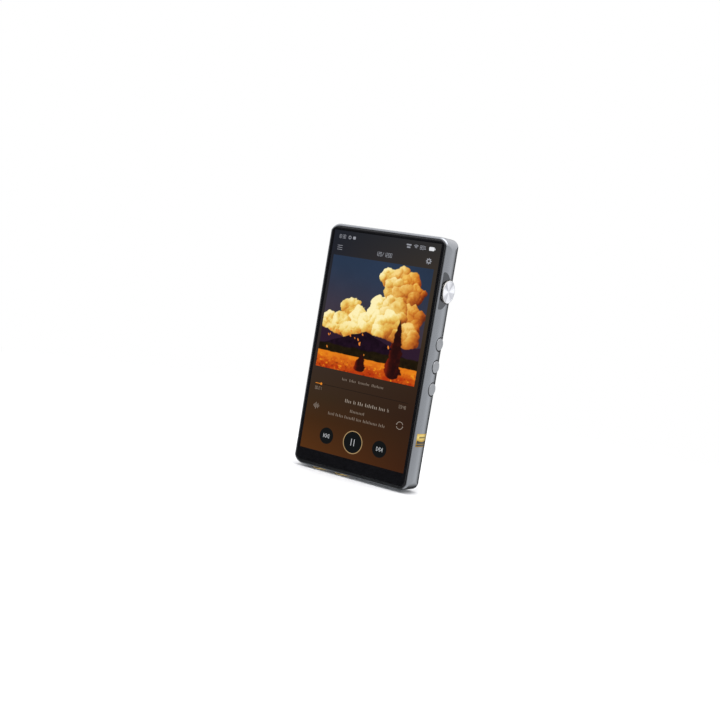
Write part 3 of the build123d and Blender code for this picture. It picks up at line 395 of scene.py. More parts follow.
CAD_FINISHES = {
    "anodised_metal": anodised_metal(),
    "button_metal": button_metal(),
    "gold_plate": gold_metal("gold_plate", srgb(222, 190, 120), 0.22),
    "back_glass_dark": back_glass_dark(),
    "label_foil": label_foil(),
    "screen_glass": border_black(),
    "screen_image": worn_finish("panel_dark", (0.02, 0.02, 0.025), 12, 0.1, 0.2),
    "backlight": worn_finish("backlight_film", (0.8, 0.82, 0.84), 9, 0.03, 0.45),
    "adhesive": worn_finish("foam_adhesive", (0.03, 0.03, 0.03), 0.8, 0.3, 0.85, grain=0.02),
    "polished_metal": side_bright_metal(),
    "shaft_steel": worn_finish("shaft_steel", (0.55, 0.55, 0.57), 1.5, 0.08, 0.25, 1.0),
    "bushing_brass": worn_finish("bushing_brass", (0.66, 0.49, 0.22), 1.5, 0.08, 0.28, 1.0),
    "seal_rubber": worn_finish("seal_rubber", (0.012, 0.012, 0.012), 1.0, 0.3, 0.7, grain=0.01),
    "black_plastic": worn_finish("black_plastic", (0.015, 0.015, 0.017), 1.5, 0.2, 0.42, grain=0.008),
    "sheet_steel": worn_finish("sheet_steel", (0.6, 0.6, 0.6), 3.0, 0.06, 0.3, 1.0),
    "board_green": worn_finish("board_green", (0.015, 0.07, 0.045), 4.0, 0.15, 0.35, grain=0.01),
    "chip_black": worn_finish("chip_black", (0.02, 0.02, 0.022), 1.2, 0.2, 0.5, grain=0.008),
    "oscillator_metal": worn_finish("oscillator_metal", (0.68, 0.66, 0.6), 1.2, 0.06, 0.3, 1.0),
    "ribbon_amber": worn_finish("ribbon_amber", (0.36, 0.14, 0.02), 3.0, 0.12, 0.3),
    "battery_wrap": worn_finish("battery_wrap", (0.3, 0.31, 0.32), 6.0, 0.08, 0.35, 0.4, grain=0.01),
    "graphite": worn_finish("graphite", (0.05, 0.05, 0.055), 2.0, 0.12, 0.4, 0.6),
}
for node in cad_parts.values():
    for slot in node.material_slots:
        slot.material = CAD_FINISHES[slot.material.name]


# ---------------------------------------------------------------- mesh helpers
def add_piece(name, points, faces, material, body="player"):
    """Mesh object from points in millimetres, riding on a CAD body."""
    mesh = bpy.data.meshes.new(name)
    mesh.from_pydata([tuple(c * MM for c in p) for p in points], [], faces)
    mesh.materials.append(material)
    mesh.validate()
    piece = bpy.data.objects.new(name, mesh)
    bpy.context.scene.collection.objects.link(piece)
    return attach(piece, body)


def rounded_outline(width, height, radius, centre_z, y, steps=6):
    """Loop of points round a rounded rectangle that faces the front."""
    loop = []
    for quarter in range(4):
        side_x = 1 if quarter in (0, 3) else -1
        side_z = 1 if quarter in (0, 1) else -1
        for step in range(steps + 1):
            angle = (quarter + step / steps) * pi / 2
            x = side_x * (width / 2 - radius) + radius * cos(angle)
            z = side_z * (height / 2 - radius) + radius * sin(angle)
            loop.append((x, y, centre_z + z))
    return loop


def bridged(loops):
    """Points and faces of a skin through loops of equal length, closed at both ends."""
    count = len(loops[0])
    points = [p for loop in loops for p in loop]
    faces = []
    for row in range(len(loops) - 1):
        for i in range(count):
            j = (i + 1) % count
            faces.append((row * count + i, row * count + j, (row + 1) * count + j, (row + 1) * count + i))
    faces.append(tuple(reversed(range(count))))
    faces.append(tuple(range((len(loops) - 1) * count, len(loops) * count)))
    return points, faces


def sharpen(piece, angle=30):
    """Smooth shading that keeps edges over the angle crisp."""
    piece.data.shade_smooth()
    piece.data.set_sharp_from_angle(angle=radians(angle))


# ---------------------------------------------------------------- cover glass
def cover_glass():
    """Black-masked glass slab with a ground edge and a shallow window over the lit area."""
    width = GLASS_HIGH.x - GLASS_LOW.x
    height = GLASS_HIGH.z - GLASS_LOW.z
    middle = (GLASS_HIGH.z + GLASS_LOW.z) / 2
    edge = 0.22
    corner = 2.7
    loops = [rounded_outline(width, height, corner, middle, GLASS_HIGH.y)]
    for step in range(4):
        angle = step / 3 * pi / 2
        inset = edge * (1 - cos(angle))
        rise = edge * (1 - sin(angle))
        loops.append(
            rounded_outline(
                width - 2 * inset, height - 2 * inset, corner - inset, middle, GLASS_LOW.y + rise
            )
        )
    for y in (GLASS_LOW.y, BACKGROUND_Y + 0.01):
        loops.append(rounded_outline(SCREEN_WIDTH, SCREEN_HEIGHT, 0.15, SCREEN_Z, y))
    points, faces = bridged(loops)
    glass = add_piece("cover_glass", points, faces, CAD_FINISHES["screen_glass"])
    sharpen(glass, 40)
    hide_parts("front_glass")


cover_glass()


# ---------------------------------------------------------------- screen drawing
class Drawing:
    """Flat shapes of one colour on one layer of the screen, with (0, 0) at the screen's middle."""

    def __init__(self, name, depth, material):
        self.name = name
        self.depth = depth
        self.material = material
        self.points = []
        self.faces = []

    def polygon(self, corners):
        """Face through corners given anticlockwise as seen from the front."""
        start = len(self.points)
        self.points += [(x, self.depth, SCREEN_Z + y) for x, y in corners]
        self.faces.append(tuple(range(start, start + len(corners))))

    def bar(self, left, right, bottom, top, radius=0.0):
        radius = min(radius, (right - left) / 2, (top - bottom) / 2)
        if radius <= 0:
            self.polygon([(left, bottom), (right, bottom), (right, top), (left, top)])
            return
        corners = []
        centres = [(right - radius, top - radius), (left + radius, top - radius)]
        centres += [(left + radius, bottom + radius), (right - radius, bottom + radius)]
        for quarter, (x, y) in enumerate(centres):
            for step in range(5):
                angle = (quarter + step / 4) * pi / 2
                corners.append((x + radius * cos(angle), y + radius * sin(angle)))
        self.polygon(corners)

    def disc(self, x, y, radius, sides=48):
        turns = [tau * i / sides for i in range(sides)]
        self.polygon([(x + radius * cos(a), y + radius * sin(a)) for a in turns])

    def arc(self, x, y, inner, outer, start=0.0, end=360.0, sides=48):
        """Ring or part of one, from start to end degrees."""
        angles = [radians(start + (end - start) * i / sides) for i in range(sides + 1)]
        for a, b in zip(angles, angles[1:]):
            corners = [(inner, a), (outer, a), (outer, b), (inner, b)]
            self.polygon([(x + r * cos(t), y + r * sin(t)) for r, t in corners])

    def stroke(self, start, end, width):
        """Straight line with square ends."""
        ahead = Vector((end[0] - start[0], end[1] - start[1])).normalized()
        aside = Vector((ahead.y, -ahead.x)) * width / 2
        corners = [Vector(start) + aside, Vector(end) + aside, Vector(end) - aside, Vector(start) - aside]
        self.polygon([tuple(c) for c in corners])

    def made(self, slot="screen_image"):
        piece = add_piece(self.name, self.points, self.faces, self.material)
        return piece


def lit(name, colour, strength=1.0):
    """Glowing screen colour under glossy glass, with the fine ripple of its subpixels."""
    finish = Finish(name, (0, 0, 0), Roughness=0.05, IOR=1.5, Emission_Strength=strength)
    ripple = finish.span(finish.noise(0.3, 1), 0.3, 0.7, 0.94, 1.06)
    finish.drive("Emission Color", finish.mix(1.0, colour, ripple, "MULTIPLY"))
    return finish.material


def screen_backdrop():
    """Dark player screen that warms from slate at the top to brown at the bottom."""
    finish = Finish("screen_backdrop", (0, 0, 0), Roughness=0.05, IOR=1.5, Emission_Strength=1.0)
    x, _, z = finish.axes()
    bottom = (SCREEN_Z - SCREEN_HEIGHT / 2) * MM
    up = finish.span(z, bottom, bottom + SCREEN_HEIGHT * MM)
    left = [
        (0.0, srgb(84, 48, 20)), (0.14, srgb(66, 40, 19)), (0.24, srgb(58, 42, 27)), (0.37, srgb(56, 43, 35)),
        (0.68, srgb(46, 44, 47)), (0.9, srgb(33, 35, 43)), (1.0, srgb(31, 34, 42)),
    ]
    right = [
        (0.0, srgb(62, 33, 17)), (0.14, srgb(55, 33, 19)), (0.24, srgb(49, 30, 20)), (0.37, srgb(51, 35, 24)),
        (0.68, srgb(60, 49, 37)), (0.9, srgb(54, 48, 43)), (1.0, srgb(46, 45, 45)),
    ]
    across = finish.span(x, -SCREEN_WIDTH / 2 * MM, SCREEN_WIDTH / 2 * MM)
    blend = finish.mix(across, finish.ramp(up, left), finish.ramp(up, right))
    finish.drive("Emission Color", blend)
    backdrop = Drawing("screen_backdrop", BACKGROUND_Y, finish.material)
    backdrop.bar(-SCREEN_WIDTH / 2, SCREEN_WIDTH / 2, -SCREEN_HEIGHT / 2, SCREEN_HEIGHT / 2)
    backdrop.made()


screen_backdrop()


# ---------------------------------------------------------------- the picture on the screen
PICTURE_LEFT, PICTURE_RIGHT = -29.6, 29.0
PICTURE_BOTTOM, PICTURE_TOP = -13.5, 43.0
PICTURE_CELL = 0.24


def lattice(column, row, seed):
    """Repeatable pseudo-random number from 0 to 1 for each whole point."""
    value = np.sin(column * 127.1 + row * 311.7 + seed * 74.7) * 43758.5453
    return value - np.floor(value)


def value_noise(x, y, seed):
    column, row = np.floor(x), np.floor(y)
    u, v = x - column, y - row
    u, v = u * u * (3 - 2 * u), v * v * (3 - 2 * v)
    low = lattice(column, row, seed) * (1 - u) + lattice(column + 1, row, seed) * u
    high = lattice(column, row + 1, seed) * (1 - u) + lattice(column + 1, row + 1, seed) * u
    return low * (1 - v) + high * v


def layered_noise(x, y, pitch, seed, octaves=4):
    total = sum(value_noise(x / pitch * 2**k, y / pitch * 2**k, seed + k) / 2**k for k in range(octaves))
    return total / sum(0.5**k for k in range(octaves))


def soft(value, low, high):
    t = np.clip((value - low) / (high - low), 0, 1)
    return t * t * (3 - 2 * t)


def over(canvas, colour, mask):
    return canvas * (1 - mask[..., None]) + np.asarray(colour) * mask[..., None]


def blended(first, second, share):
    return np.asarray(first) * (1 - share[..., None]) + np.asarray(second) * share[..., None]


# Heaps of cloud as x, y and radius. They and the rest of the landscape follow the layout and the tones of
# the illustration on the photographed screen, and the two trees stand where its two figures do.
CLOUD_HEAPS = [
    (5.0, 36.0, 4.8), (12.0, 36.6, 5.2), (18.5, 34.2, 5.4), (21.5, 29.5, 4.6), (9.0, 30.0, 6.4),
    (16.0, 27.0, 6.8), (-14.0, 18.0, 5.4), (2.0, 20.0, 5.6), (20.5, 18.0, 7.2), (11.0, 20.5, 7.4),
    (-9.0, 12.5, 6.0), (-26.0, 10.5, 4.6), (0.0, 12.5, 7.4), (-18.5, 10.5, 6.0), (20.0, 8.5, 7.8),
    (9.0, 10.0, 8.4), (-28.5, 5.5, 4.0), (-22.0, 5.0, 5.0), (-12.0, 6.5, 5.5),
]
CLOUD_TONES = [
    (0.0, (128, 58, 22)), (0.2, (182, 100, 36)), (0.4, (214, 148, 56)), (0.58, (230, 186, 88)),
    (0.76, (242, 214, 126)), (1.0, (254, 240, 182)),
]
DUSK_TONES = [
    (0.0, (96, 34, 16)), (0.25, (146, 58, 18)), (0.5, (192, 96, 26)), (0.75, (216, 138, 44)),
    (1.0, (242, 192, 92)),
]
PUFFS_PER_HEAP = 9


def toned(tone, stops):
    places = [place for place, _ in stops]
    return np.stack([np.interp(tone, places, [colour[i] for _, colour in stops]) for i in range(3)], axis=-1)


def cloud_puffs(chance, heap_x, heap_y, heap_radius):
    """The heap itself and smaller puffs round its upper side, the highest ones first."""
    puffs = []
    for _ in range(PUFFS_PER_HEAP):
        angle = chance.uniform(-0.35 * pi, 1.35 * pi)
        reach = heap_radius * chance.uniform(0.45, 0.9)
        size = heap_radius * chance.uniform(0.3, 0.5)
        puffs.append((heap_x + reach * cos(angle), heap_y + reach * sin(angle), size))
    puffs.sort(key=lambda puff: -puff[1])
    return [(heap_x, heap_y, heap_radius), *puffs]


def paint_clouds(canvas, x, y):
    """Evening cumulus lit from the upper left, cream on the left and burnt orange at the right."""
    chance = np.random.default_rng(11)
    bent_x = x + 3.4 * (layered_noise(x, y, 3.4, 3, 5) - 0.5)
    bent_y = y + 3.4 * (layered_noise(x, y, 3.4, 13, 5) - 0.5)
    fine = layered_noise(x, y, 1.6, 23, 3) - 0.5
    broad = layered_noise(x, y, 10.0, 33, 2) - 0.5
    haze = 0.72 + 0.28 * soft(y, 3.0, 13.0)
    for heap in CLOUD_HEAPS:
        heap_x, heap_y, heap_radius = heap
        heap_light = 0.5 - 0.42 * (bent_x - heap_x) / heap_radius + 0.48 * (bent_y - heap_y) / heap_radius
        dusk = np.clip((0.8 * heap_x + 0.2 * heap_y - 11) / 11, 0, 1) * np.clip(1 + 0.9 * broad, 0, 1)
        for puff_x, puff_y, radius in cloud_puffs(chance, *heap):
            aside, rise = (bent_x - puff_x) / radius, (bent_y - puff_y) / radius
            away = np.sqrt(aside**2 + rise**2)
            own_light = 0.5 - 0.40 * aside + 0.46 * rise + 0.2 * np.sqrt(np.clip(1 - away**2, 0, 1))
            light = 0.50 * np.clip(heap_light, -0.2, 1.2) + 0.46 * own_light + 0.40 * fine + 0.75 * broad
            tone = np.clip(0.04 + 0.94 * light, 0, 1) * haze
            fade = 0.05 if radius == heap_radius else 0.06 + 0.42 * soft(0.35 * aside - rise, 0.0, 1.1)
            colour = blended(toned(tone, CLOUD_TONES), toned(tone, DUSK_TONES), dusk)
            canvas = over(canvas, colour, soft((1 - away) / fade, 0.0, 1.0))
    return canvas


def paint_land(canvas, x, y):
    """Dark hills, a strip of meadow, an autumn field in bloom, and two plain trees."""
    ridge = 8.6 - 0.40 * np.abs(x + 3.1) + 1.6 * (layered_noise(x, 0 * x, 7.0, 21) - 0.5)
    far_ridge = 5.4 + 1.8 * np.sin(x / 5.5 + 1.0) + 1.2 * (layered_noise(x, 0 * x, 2.0, 5) - 0.5)
    canvas = over(canvas, (44, 26, 44), soft(far_ridge - y, 0.0, 0.5))
    streaks = layered_noise(x, y, 1.6, 9)[..., None]
    canvas = over(canvas, np.array((16, 5, 16)) + streaks * np.array((20, 12, 20)), soft(ridge - y, 0.0, 0.4))
    meadow = -0.6 + 1.4 * (layered_noise(x, 0 * x, 4.0, 31) - 0.5)
    canvas = over(canvas, np.array((18, 12, 4)) + streaks * np.array((22, 18, 6)), soft(meadow - y, 0.0, 0.9))
    edge = -5.3 - 0.02 * x + 0.5 * (layered_noise(x, 0 * x, 3.0, 41) - 0.5)
    depth = soft(edge - y, 0.0, 8.0)
    grass = layered_noise(x, y * 2.2, 2.4, 51)
    field = blended((228, 128, 26), (176, 52, 12), np.clip(depth * 0.9 + (grass - 0.5) * 0.9, 0, 1))
    canvas = over(canvas, field, soft(edge - y, 0.0, 0.3))
    blossom = layered_noise(x, y, 1.1, 61, 2) + 0.25 * layered_noise(x, y, 5.0, 71, 2)
    canvas = over(canvas, (244, 160, 34), soft(blossom, 0.78, 0.98) * soft(edge - y, 0.6, 3.0) * 0.75)
    canvas = over(canvas, (104, 26, 8), soft(-blossom, -0.44, -0.28) * soft(edge - y, 1.5, 5.0) * 0.6)

    for tree_x, tree_base, tree_height, tree_width in ((15.6, -12.6, 30.0, 4.6), (-3.4, -12.2, 9.6, 3.6)):
        climb = np.clip((y - tree_base) / tree_height, 0, 1)
        profile = tree_width * np.sqrt(np.clip(climb * 9, 0, 1)) * (1 - climb**1.7)
        profile = profile * (0.62 + 0.85 * layered_noise(x, y, 1.9, 81))
        inside = soft(profile - np.abs(x - tree_x), -0.1, 0.5) * soft(y, tree_base - 0.2, tree_base + 0.5)
        rim = soft(np.abs(x - tree_x - 0.4 * tree_width) / tree_width, 0.6, 1.3)
        rim = rim * soft(tree_x - x, 0.0, tree_width)
        leaf = blended((36, 10, 10), (120, 30, 12), np.clip(rim + 0.5 * (streaks[..., 0] - 0.4), 0, 1))
        canvas = over(canvas, leaf, inside * soft(tree_base + tree_height - y, 0.0, 0.6))
    return canvas


def paint_petals(canvas, x, y):
    """Small leaves on the wind."""
    chance = np.random.default_rng(19)
    for _ in range(16):
        leaf_x, leaf_y = chance.uniform(-27, 22), chance.uniform(-4, 8)
        angle, size = chance.uniform(1.6, 2.3), chance.uniform(0.45, 0.95)
        along = (x - leaf_x) * cos(angle) + (y - leaf_y) * sin(angle)
        aside = -(x - leaf_x) * sin(angle) + (y - leaf_y) * cos(angle)
        mask = soft(-np.sqrt((along / size) ** 2 + (aside / size / 0.45) ** 2), -1.15, -0.8)
        canvas = over(canvas, (238, 138, 52), mask)
    return canvas


def screen_picture():
    """Landscape painted into a colour attribute, one value for each cell corner."""
    columns = round((PICTURE_RIGHT - PICTURE_LEFT) / PICTURE_CELL)
    rows = round((PICTURE_TOP - PICTURE_BOTTOM) / PICTURE_CELL)
    x, y = np.meshgrid(
        np.linspace(PICTURE_LEFT, PICTURE_RIGHT, columns + 1),
        np.linspace(PICTURE_BOTTOM, PICTURE_TOP, rows + 1),
    )
    haze = layered_noise(x, y, 14.0, 1)[..., None] - 0.5
    sky = blended((62, 54, 66), (41, 55, 77), soft(y + 0.08 * x, 10.0, 40.0)) * (1 + 0.14 * haze)
    canvas = paint_petals(paint_land(paint_clouds(sky, x, y), x, y), x, y)
    shown = np.clip(canvas / 255, 0, 1)
    linear = np.where(shown <= 0.04045, shown / 12.92, ((shown + 0.055) / 1.055) ** 2.4)

    points = [(px, PICTURE_Y, SCREEN_Z + py) for px, py in zip(x.ravel(), y.ravel())]
    stride = columns + 1
    faces = [
        (r * stride + c, r * stride + c + 1, (r + 1) * stride + c + 1, (r + 1) * stride + c)
        for r in range(rows)
        for c in range(columns)
    ]
    finish = Finish("landscape_picture", (0, 0, 0), Roughness=0.05, IOR=1.5, Emission_Strength=1.0)
    paint = finish.node("ShaderNodeVertexColor", layer_name="paint")
    ripple = finish.span(finish.noise(0.3, 1), 0.3, 0.7, 0.95, 1.05)
    finish.drive("Emission Color", finish.mix(1.0, paint.outputs["Color"], ripple, "MULTIPLY"))
    picture = add_piece("screen_picture", points, faces, finish.material)
    layer = picture.data.color_attributes.new("paint", "FLOAT_COLOR", "POINT")
    rgba = np.concatenate([linear.reshape(-1, 3), np.ones((linear.shape[0] * linear.shape[1], 1))], axis=1)
    layer.data.foreach_set("color", rgba.astype(np.float32).ravel())


screen_picture()


# ---------------------------------------------------------------- icons and lines of the player screen
DIGIT_STROKES = {
    "0": "abcdef", "1": "bc", "2": "abged", "3": "abgcd", "4": "fgbc", "5": "afgcd", "6": "afgedc", "7": "abc",
    "8": "abcdefg", "9": "abcdfg",
}
STROKE_ENDS = {
    "a": ((0, 2), (1, 2)), "b": ((1, 1), (1, 2)), "c": ((1, 0), (1, 1)), "d": ((0, 0), (1, 0)),
    "e": ((0, 0), (0, 1)), "f": ((0, 1), (0, 2)), "g": ((0, 1), (1, 1)),
}


def write_number(drawing, text, left, bottom, height):
    """Digits, colons, slashes and percent signs made of straight strokes."""
    line = height * 0.10
    width = height * 0.40
    x = left
    for mark in text:
        if mark in DIGIT_STROKES:
            for stroke in DIGIT_STROKES[mark]:
                ends = [(x + u * width, bottom + v * height / 2) for u, v in STROKE_ENDS[stroke]]
                drawing.stroke(*ends, line)
            x += width + line * 2.2
        elif mark == ":":
            for rise in (0.28, 0.72):
                drawing.disc(x + line * 0.4, bottom + rise * height, line * 0.75, 10)
            x += line * 2.6
        else:
            drawing.stroke((x, bottom), (x + width, bottom + height), line)
            if mark == "%":
                drawing.arc(x + 0.1 * width, bottom + 0.8 * height, line * 0.6, line * 1.5, sides=12)
                drawing.arc(x + 0.95 * width, bottom + 0.2 * height, line * 0.6, line * 1.5, sides=12)
            x += width + line * 2.6


def write_words(drawing, spans, bottom, height, chance):
    """Lines of text as rows of small upright dashes, one cluster for each word."""
    for left, right in spans:
        count = max(2, round((right - left) / (height * 0.58)))
        pitch = (right - left) / count
        for i in range(count):
            top = height * (1.0 if i == 0 or chance.random() < 0.22 else 0.72)
            start = left + i * pitch
            drawing.bar(start, start + pitch * 0.36, bottom, bottom + top, pitch * 0.15)


def status_row():
    """Clock, two notices, network, charge and battery at the top, and the list and settings keys."""
    white = lit("status_white", srgb(226, 228, 232))
    grey = lit("status_grey", srgb(150, 152, 160))
    bright = Drawing("status_marks", GLYPH_Y, white)
    bright.bar(24.6, 27.5, 51.5, 53.3, 0.3)
    bright.bar(27.65, 28.0, 52.0, 52.8, 0.1)
    bright.made()

    dim = Drawing("status_details", SHAPE_Y, grey)
    write_number(dim, "10:30", -28.4, 51.6, 1.7)
    write_number(dim, "80%", 19.6, 51.5, 1.8)
    dim.arc(-21.5, 52.4, 0.55, 0.85, sides=24)
    dim.bar(-19.6, -18.0, 51.7, 53.1, 0.3)
    dim.bar(11.8, 14.5, 52.6, 53.3, 0.1)
    dim.bar(12.2, 14.1, 51.4, 52.1, 0.1)
    for radius in (0.7, 1.3, 1.9):
        dim.arc(17.3, 51.4, radius - 0.18, radius + 0.1, 50, 130, 12)
    for rise in (45.9, 46.9, 47.9):
        dim.bar(-28.1, -25.1, rise - 0.12, rise + 0.12)
    dim.arc(25.5, 46.5, 0.6, 1.1)
    for tooth in range(8):
        angle = tooth * pi / 4
        start = (25.5 + 1.05 * cos(angle), 46.5 + 1.05 * sin(angle))
        dim.stroke(start, (25.5 + 1.55 * cos(angle), 46.5 + 1.55 * sin(angle)), 0.45)
    write_number(dim, "120/1200", -4.6, 45.5, 1.9)
    dim.made()


def player_lines():
    """Format line, progress bar with its times, title, artist and next title."""
    chance = np.random.default_rng(3)
    pale = Drawing("title_lines", SHAPE_Y, lit("title_grey", srgb(160, 148, 136)))
    title = [(-8.5, -4.4), (-3.5, -1.7), (-0.8, 2.7), (3.5, 11.0), (11.7, 15.6), (16.5, 17.6)]
    write_words(pale, title, -28.4, 1.75, chance)
    pale.made()
    dim = Drawing("detail_lines", SHAPE_Y, lit("detail_grey", srgb(136, 122, 110)))
    write_words(dim, [(-12.3, -9.2), (-7.9, -3.8), (-2.5, 4.2), (5.4, 12.5)], -18.0, 1.35, chance)
    write_words(dim, [(-4.6, 4.2)], -32.8, 1.5, chance)
    next_title = [(-17.3, -13.3), (-12.7, -10.8), (-10.6, -7.9), (-7.3, -0.8), (-0.2, 2.9)]
    next_title += [(3.8, 12.3), (13.1, 16.9)]
    write_words(dim, next_title, -36.2, 1.5, chance)
    write_number(dim, "00:21", -27.7, -25.1, 1.5)
    write_number(dim, "03:48", 22.6, -25.1, 1.5)
    dim.made()

    track = Drawing("progress_track", SHAPE_Y, lit("track_dark", srgb(30, 22, 18)))
    track.bar(-27.9, 27.2, -22.12, -21.88)
    track.made()
    played = Drawing("progress_played", GLYPH_Y, lit("played_orange", srgb(226, 136, 40)))
    played.bar(-27.9, -24.6, -22.15, -21.85)
    played.disc(-24.4, -22.0, 0.62)
    played.made()


KEY_ROW_Y = -46.9
PLAY_KEY_X = -0.2
SKIP_KEYS = (-16.2, 15.6)


def transport_keys():
    """Round previous, pause and next keys, with the equaliser and repeat marks above them."""
    discs = Drawing("transport_discs", SHAPE_Y, lit("key_dark", srgb(17, 19, 20)))
    for x in SKIP_KEYS:
        discs.disc(x, KEY_ROW_Y, 4.1)
    discs.disc(PLAY_KEY_X, KEY_ROW_Y, 5.3)
    discs.made()
    ring = Drawing("pause_ring", SHAPE_Y, lit("ring_gold", srgb(168, 140, 98)))
    ring.arc(PLAY_KEY_X, KEY_ROW_Y, 5.3, 5.72, sides=72)
    ring.made()

    glyphs = Drawing("transport_marks", GLYPH_Y, lit("key_marks", srgb(178, 180, 182)))
    for side in (-0.85, 0.85):
        glyphs.bar(PLAY_KEY_X + side - 0.2, PLAY_KEY_X + side + 0.2, KEY_ROW_Y - 1.7, KEY_ROW_Y + 1.7)
    for x, ahead in zip(SKIP_KEYS, (-1, 1)):
        for start in (-1.6, 0.1):
            tip = (x + ahead * (start + 1.5), KEY_ROW_Y)
            base = x + ahead * start
            ends = [(base, KEY_ROW_Y - ahead * 1.0), tip, (base, KEY_ROW_Y + ahead * 1.0)]
            for first, second in zip(ends, ends[1:] + ends[:1]):
                glyphs.stroke(first, second, 0.26)
        bar_x = x + ahead * 1.75
        glyphs.bar(bar_x - 0.14, bar_x + 0.14, KEY_ROW_Y - 1.05, KEY_ROW_Y + 1.05)
    glyphs.made()

    dim = Drawing("side_marks", SHAPE_Y, lit("side_mark_grey", srgb(150, 138, 128)))
    for index, half in enumerate((0.5, 1.0, 1.7, 0.8, 1.3, 0.5)):
        x = -26.8 + index * 0.62
        dim.bar(x - 0.12, x + 0.12, -33.2 - half, -33.2 + half, 0.1)
    for start in (20, 200):
        dim.arc(24.7, -33.3, 1.65, 1.95, start, start + 140, 24)
        tip = radians(start + 148)
        x, y = 24.7 + 1.8 * cos(tip), -33.3 + 1.8 * sin(tip)
        dim.disc(x, y, 0.42, 3)
    dim.made()


status_row()
player_lines()
transport_keys()


# ---------------------------------------------------------------- volume knob
def turned(name, profile, material, body, segments=128):
    """Body of revolution about the knob's axis, from (x, radius) pairs."""
    loops = []
    for x, radius in profile:
        turns = [tau * i / segments for i in range(segments)]
        loops.append([(x, radius * cos(a), KNOB_Z + radius * sin(a)) for a in turns])
    points, faces = bridged(loops)
    piece = add_piece(name, points, faces, material, body)
    sharpen(piece)
    return piece


def volume_knob():
    """Knob wall with a fine groove, and a dished, spun face with shallow turning steps."""
    back, face = KNOB_LOW.x, KNOB_HIGH.x
    radius = KNOB_HIGH.y
    wall = [
        (back, radius - 0.25), (back + 0.08, radius - 0.08), (back + 0.2, radius), (face - 0.72, radius),
        (face - 0.68, radius - 0.07), (face - 0.60, radius - 0.07), (face - 0.56, radius), (face - 0.2, radius),
        (face - 0.12, radius - 0.03), (face - 0.05, radius - 0.1), (face - 0.02, radius - 0.17),
        (face - 0.02, radius - 0.3), (face - 0.3, radius - 0.3),
    ]
    rim = [(face - 0.25, radius - 0.26), (face - 0.01, radius - 0.22), (face, radius - 0.3)]
    rim += [(face, radius - 0.52), (face - 0.03, radius - 0.57), (face - 0.10, radius - 0.62)]
    steps = 22
    inner = radius - 0.66
    for step in range(steps):
        share = step / steps
        dish = 0.10 + 0.05 * (1 - (1 - share) ** 2)
        rim.append((face - dish - 0.004 * (step % 2), inner * (1 - share)))
    rim.append((face - 0.15, 0.05))
    sleeve = turned("knob_wall", wall, CAD_FINISHES["polished_metal"], "knob")
    disc = turned("knob_face", rim, spun_face_painted_streaks(), "knob")
    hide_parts("volume_knob")


volume_knob()


# ---------------------------------------------------------------- studio
CAMERA_PLACE = Vector((0.3094, -0.4883, 0.0971))
CAMERA_RIGHT = Vector((0.8207, 0.5476, 0.1632))
CAMERA_BACK = Vector((0.5446, -0.8361, 0.0666))
CAMERA_LENS = 58.5
CAMERA_SENSOR = 36.0


def make_camera():
    camera = bpy.data.objects.new("camera", bpy.data.cameras.new("camera"))
    bpy.context.scene.collection.objects.link(camera)
    camera.data.sensor_width = CAMERA_SENSOR
    camera.data.lens = CAMERA_LENS
    camera.data.clip_start = 0.01
    back = CAMERA_BACK.normalized()
    up = back.cross(CAMERA_RIGHT).normalized()
    right = up.cross(back)
    turn = Matrix((right, up, back)).transposed().to_4x4()
    camera.matrix_world = Matrix.Translation(CAMERA_PLACE) @ turn
    bpy.context.scene.camera = camera


# Light seen by compass direction, in degrees, and the bright ceiling that it turns into with height.
AIR_BANDS = [
    (-180, 0.75), (-160, 0.55), (-148, 0.04), (-104, 0.04), (-88, 0.4), (-70, 0.95), (-15, 1.0), (20, 0.95),
    (45, 1.0), (60, 1.35), (74, 0.85), (88, 0.04), (148, 0.03), (162, 0.6), (180, 0.75),
]

CEILING_RISE = (0.12, 0.5)
CEILING_COLOUR = (1.35, 1.35, 1.37, 1)


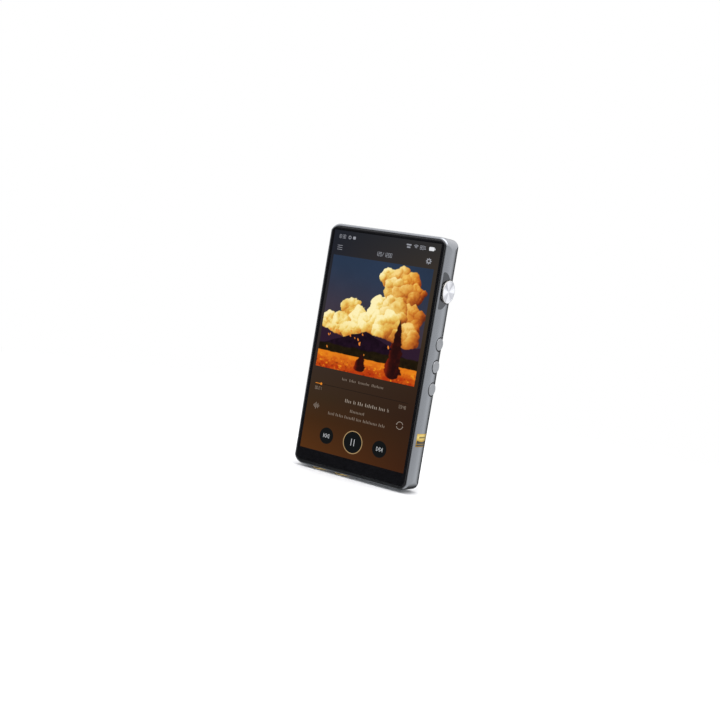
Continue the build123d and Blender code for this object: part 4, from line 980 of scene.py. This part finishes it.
def make_air():
    """Studio surroundings: white to look at, and soft bands of light and dark to reflect."""
    world = bpy.data.worlds.new("studio_air")
    world.use_nodes = True
    bpy.context.scene.world = world
    tree = world.node_tree
    tree.nodes.clear()

    def node(kind, **settings):
        made = tree.nodes.new(kind)
        for key, value in settings.items():
            setattr(made, key, value)
        return made

    def join(source, target):
        tree.links.new(source, target)

    way = node("ShaderNodeTexCoord")
    split = node("ShaderNodeSeparateXYZ")
    join(way.outputs["Generated"], split.inputs[0])
    turn = node("ShaderNodeMath", operation="ARCTAN2")
    join(split.outputs[1], turn.inputs[0])
    join(split.outputs[0], turn.inputs[1])
    share = node("ShaderNodeMapRange")
    join(turn.outputs[0], share.inputs[0])
    share.inputs["From Min"].default_value = -pi
    share.inputs["From Max"].default_value = pi
    bands = node("ShaderNodeValToRGB")
    join(share.outputs[0], bands.inputs[0])
    elements = bands.color_ramp.elements
    for index, (azimuth, level) in enumerate(AIR_BANDS):
        position = (azimuth + 180) / 360
        element = elements[index] if index < 2 else elements.new(position)
        element.position = position
        element.color = (level * 0.97, level * 0.985, level, 1)
    ceiling = node("ShaderNodeMapRange", interpolation_type="SMOOTHSTEP")
    join(split.outputs[2], ceiling.inputs[0])
    ceiling.inputs["From Min"].default_value = CEILING_RISE[0]
    ceiling.inputs["From Max"].default_value = CEILING_RISE[1]
    whole = node("ShaderNodeMix", data_type="RGBA")
    join(ceiling.outputs[0], whole.inputs[0])
    join(bands.outputs[0], whole.inputs[6])
    whole.inputs[7].default_value = CEILING_COLOUR

    lamp = node("ShaderNodeBackground")
    join(whole.outputs[2], lamp.inputs["Color"])
    white = node("ShaderNodeBackground")
    white.inputs["Color"].default_value = (1, 1, 1, 1)
    path = node("ShaderNodeLightPath")
    chosen = node("ShaderNodeMixShader")
    join(path.outputs["Is Camera Ray"], chosen.inputs[0])
    join(lamp.outputs[0], chosen.inputs[1])
    join(white.outputs[0], chosen.inputs[2])
    join(chosen.outputs[0], node("ShaderNodeOutputWorld").inputs["Surface"])


FLOOR_RADIUS = 0.6
FLOOR_FADE = (0.16, 0.42)
FLOOR_DEPTH = -0.02
FLOOR_RINGS = 24
FLOOR_SIDES = 96


def make_floor():
    """Pale floor disc that fades to the white of the surroundings."""
    turns = [tau * side / FLOOR_SIDES for side in range(FLOOR_SIDES)]
    points = [(0, 0, FLOOR_DEPTH)]
    for ring in range(1, FLOOR_RINGS + 1):
        radius = FLOOR_RADIUS / MM * (ring / FLOOR_RINGS) ** 1.5
        points += [(radius * cos(turn), radius * sin(turn), FLOOR_DEPTH) for turn in turns]
    faces = []
    for side in range(FLOOR_SIDES):
        faces.append((0, 1 + side, 1 + (side + 1) % FLOOR_SIDES))
        for ring in range(FLOOR_RINGS - 1):
            a = 1 + ring * FLOOR_SIDES + side
            b = 1 + ring * FLOOR_SIDES + (side + 1) % FLOOR_SIDES
            faces.append((a, a + FLOOR_SIDES, b + FLOOR_SIDES, b))
    finish = Finish("pale_floor", (0.82, 0.82, 0.825), Roughness=0.6)
    length = finish.node("ShaderNodeVectorMath", operation="LENGTH")
    finish.feed(length.inputs[0], finish.place())
    away = finish.span(length.outputs["Value"], *FLOOR_FADE)
    glow = finish.node("ShaderNodeEmission")
    fade = finish.node("ShaderNodeMixShader")
    finish.feed(fade.inputs[0], away)
    finish.feed(fade.inputs[1], finish.shader.outputs[0])
    finish.feed(fade.inputs[2], glow.outputs[0])
    finish.feed(finish.tree.nodes["Material Output"].inputs["Surface"], fade.outputs[0])
    mesh = bpy.data.meshes.new("floor")
    mesh.from_pydata([tuple(c * MM for c in p) for p in points], [], faces)
    mesh.materials.append(finish.material)
    floor = bpy.data.objects.new("floor", mesh)
    bpy.context.scene.collection.objects.link(floor)
    floor.visible_glossy = False


LAMP_SIZE = 0.9
LAMP_POWER = 6.0
LAMP_PLACE = (0.15, -0.25, 0.9)
LAMP_TARGET = (0, 0, 0.06)


def make_lamps():
    """One large soft light overhead, a little to the front."""
    lamp = bpy.data.lights.new("overhead", "AREA")
    lamp.shape = "DISK"
    lamp.size = LAMP_SIZE
    lamp.energy = LAMP_POWER
    holder = bpy.data.objects.new("overhead", lamp)
    bpy.context.scene.collection.objects.link(holder)
    holder.location = LAMP_PLACE
    aim = Vector(LAMP_TARGET) - holder.location
    holder.rotation_mode = "QUATERNION"
    holder.rotation_quaternion = aim.to_track_quat("-Z", "Y")


bpy.context.scene.view_settings.view_transform = "Standard"
make_camera()
make_air()
make_floor()
make_lamps()
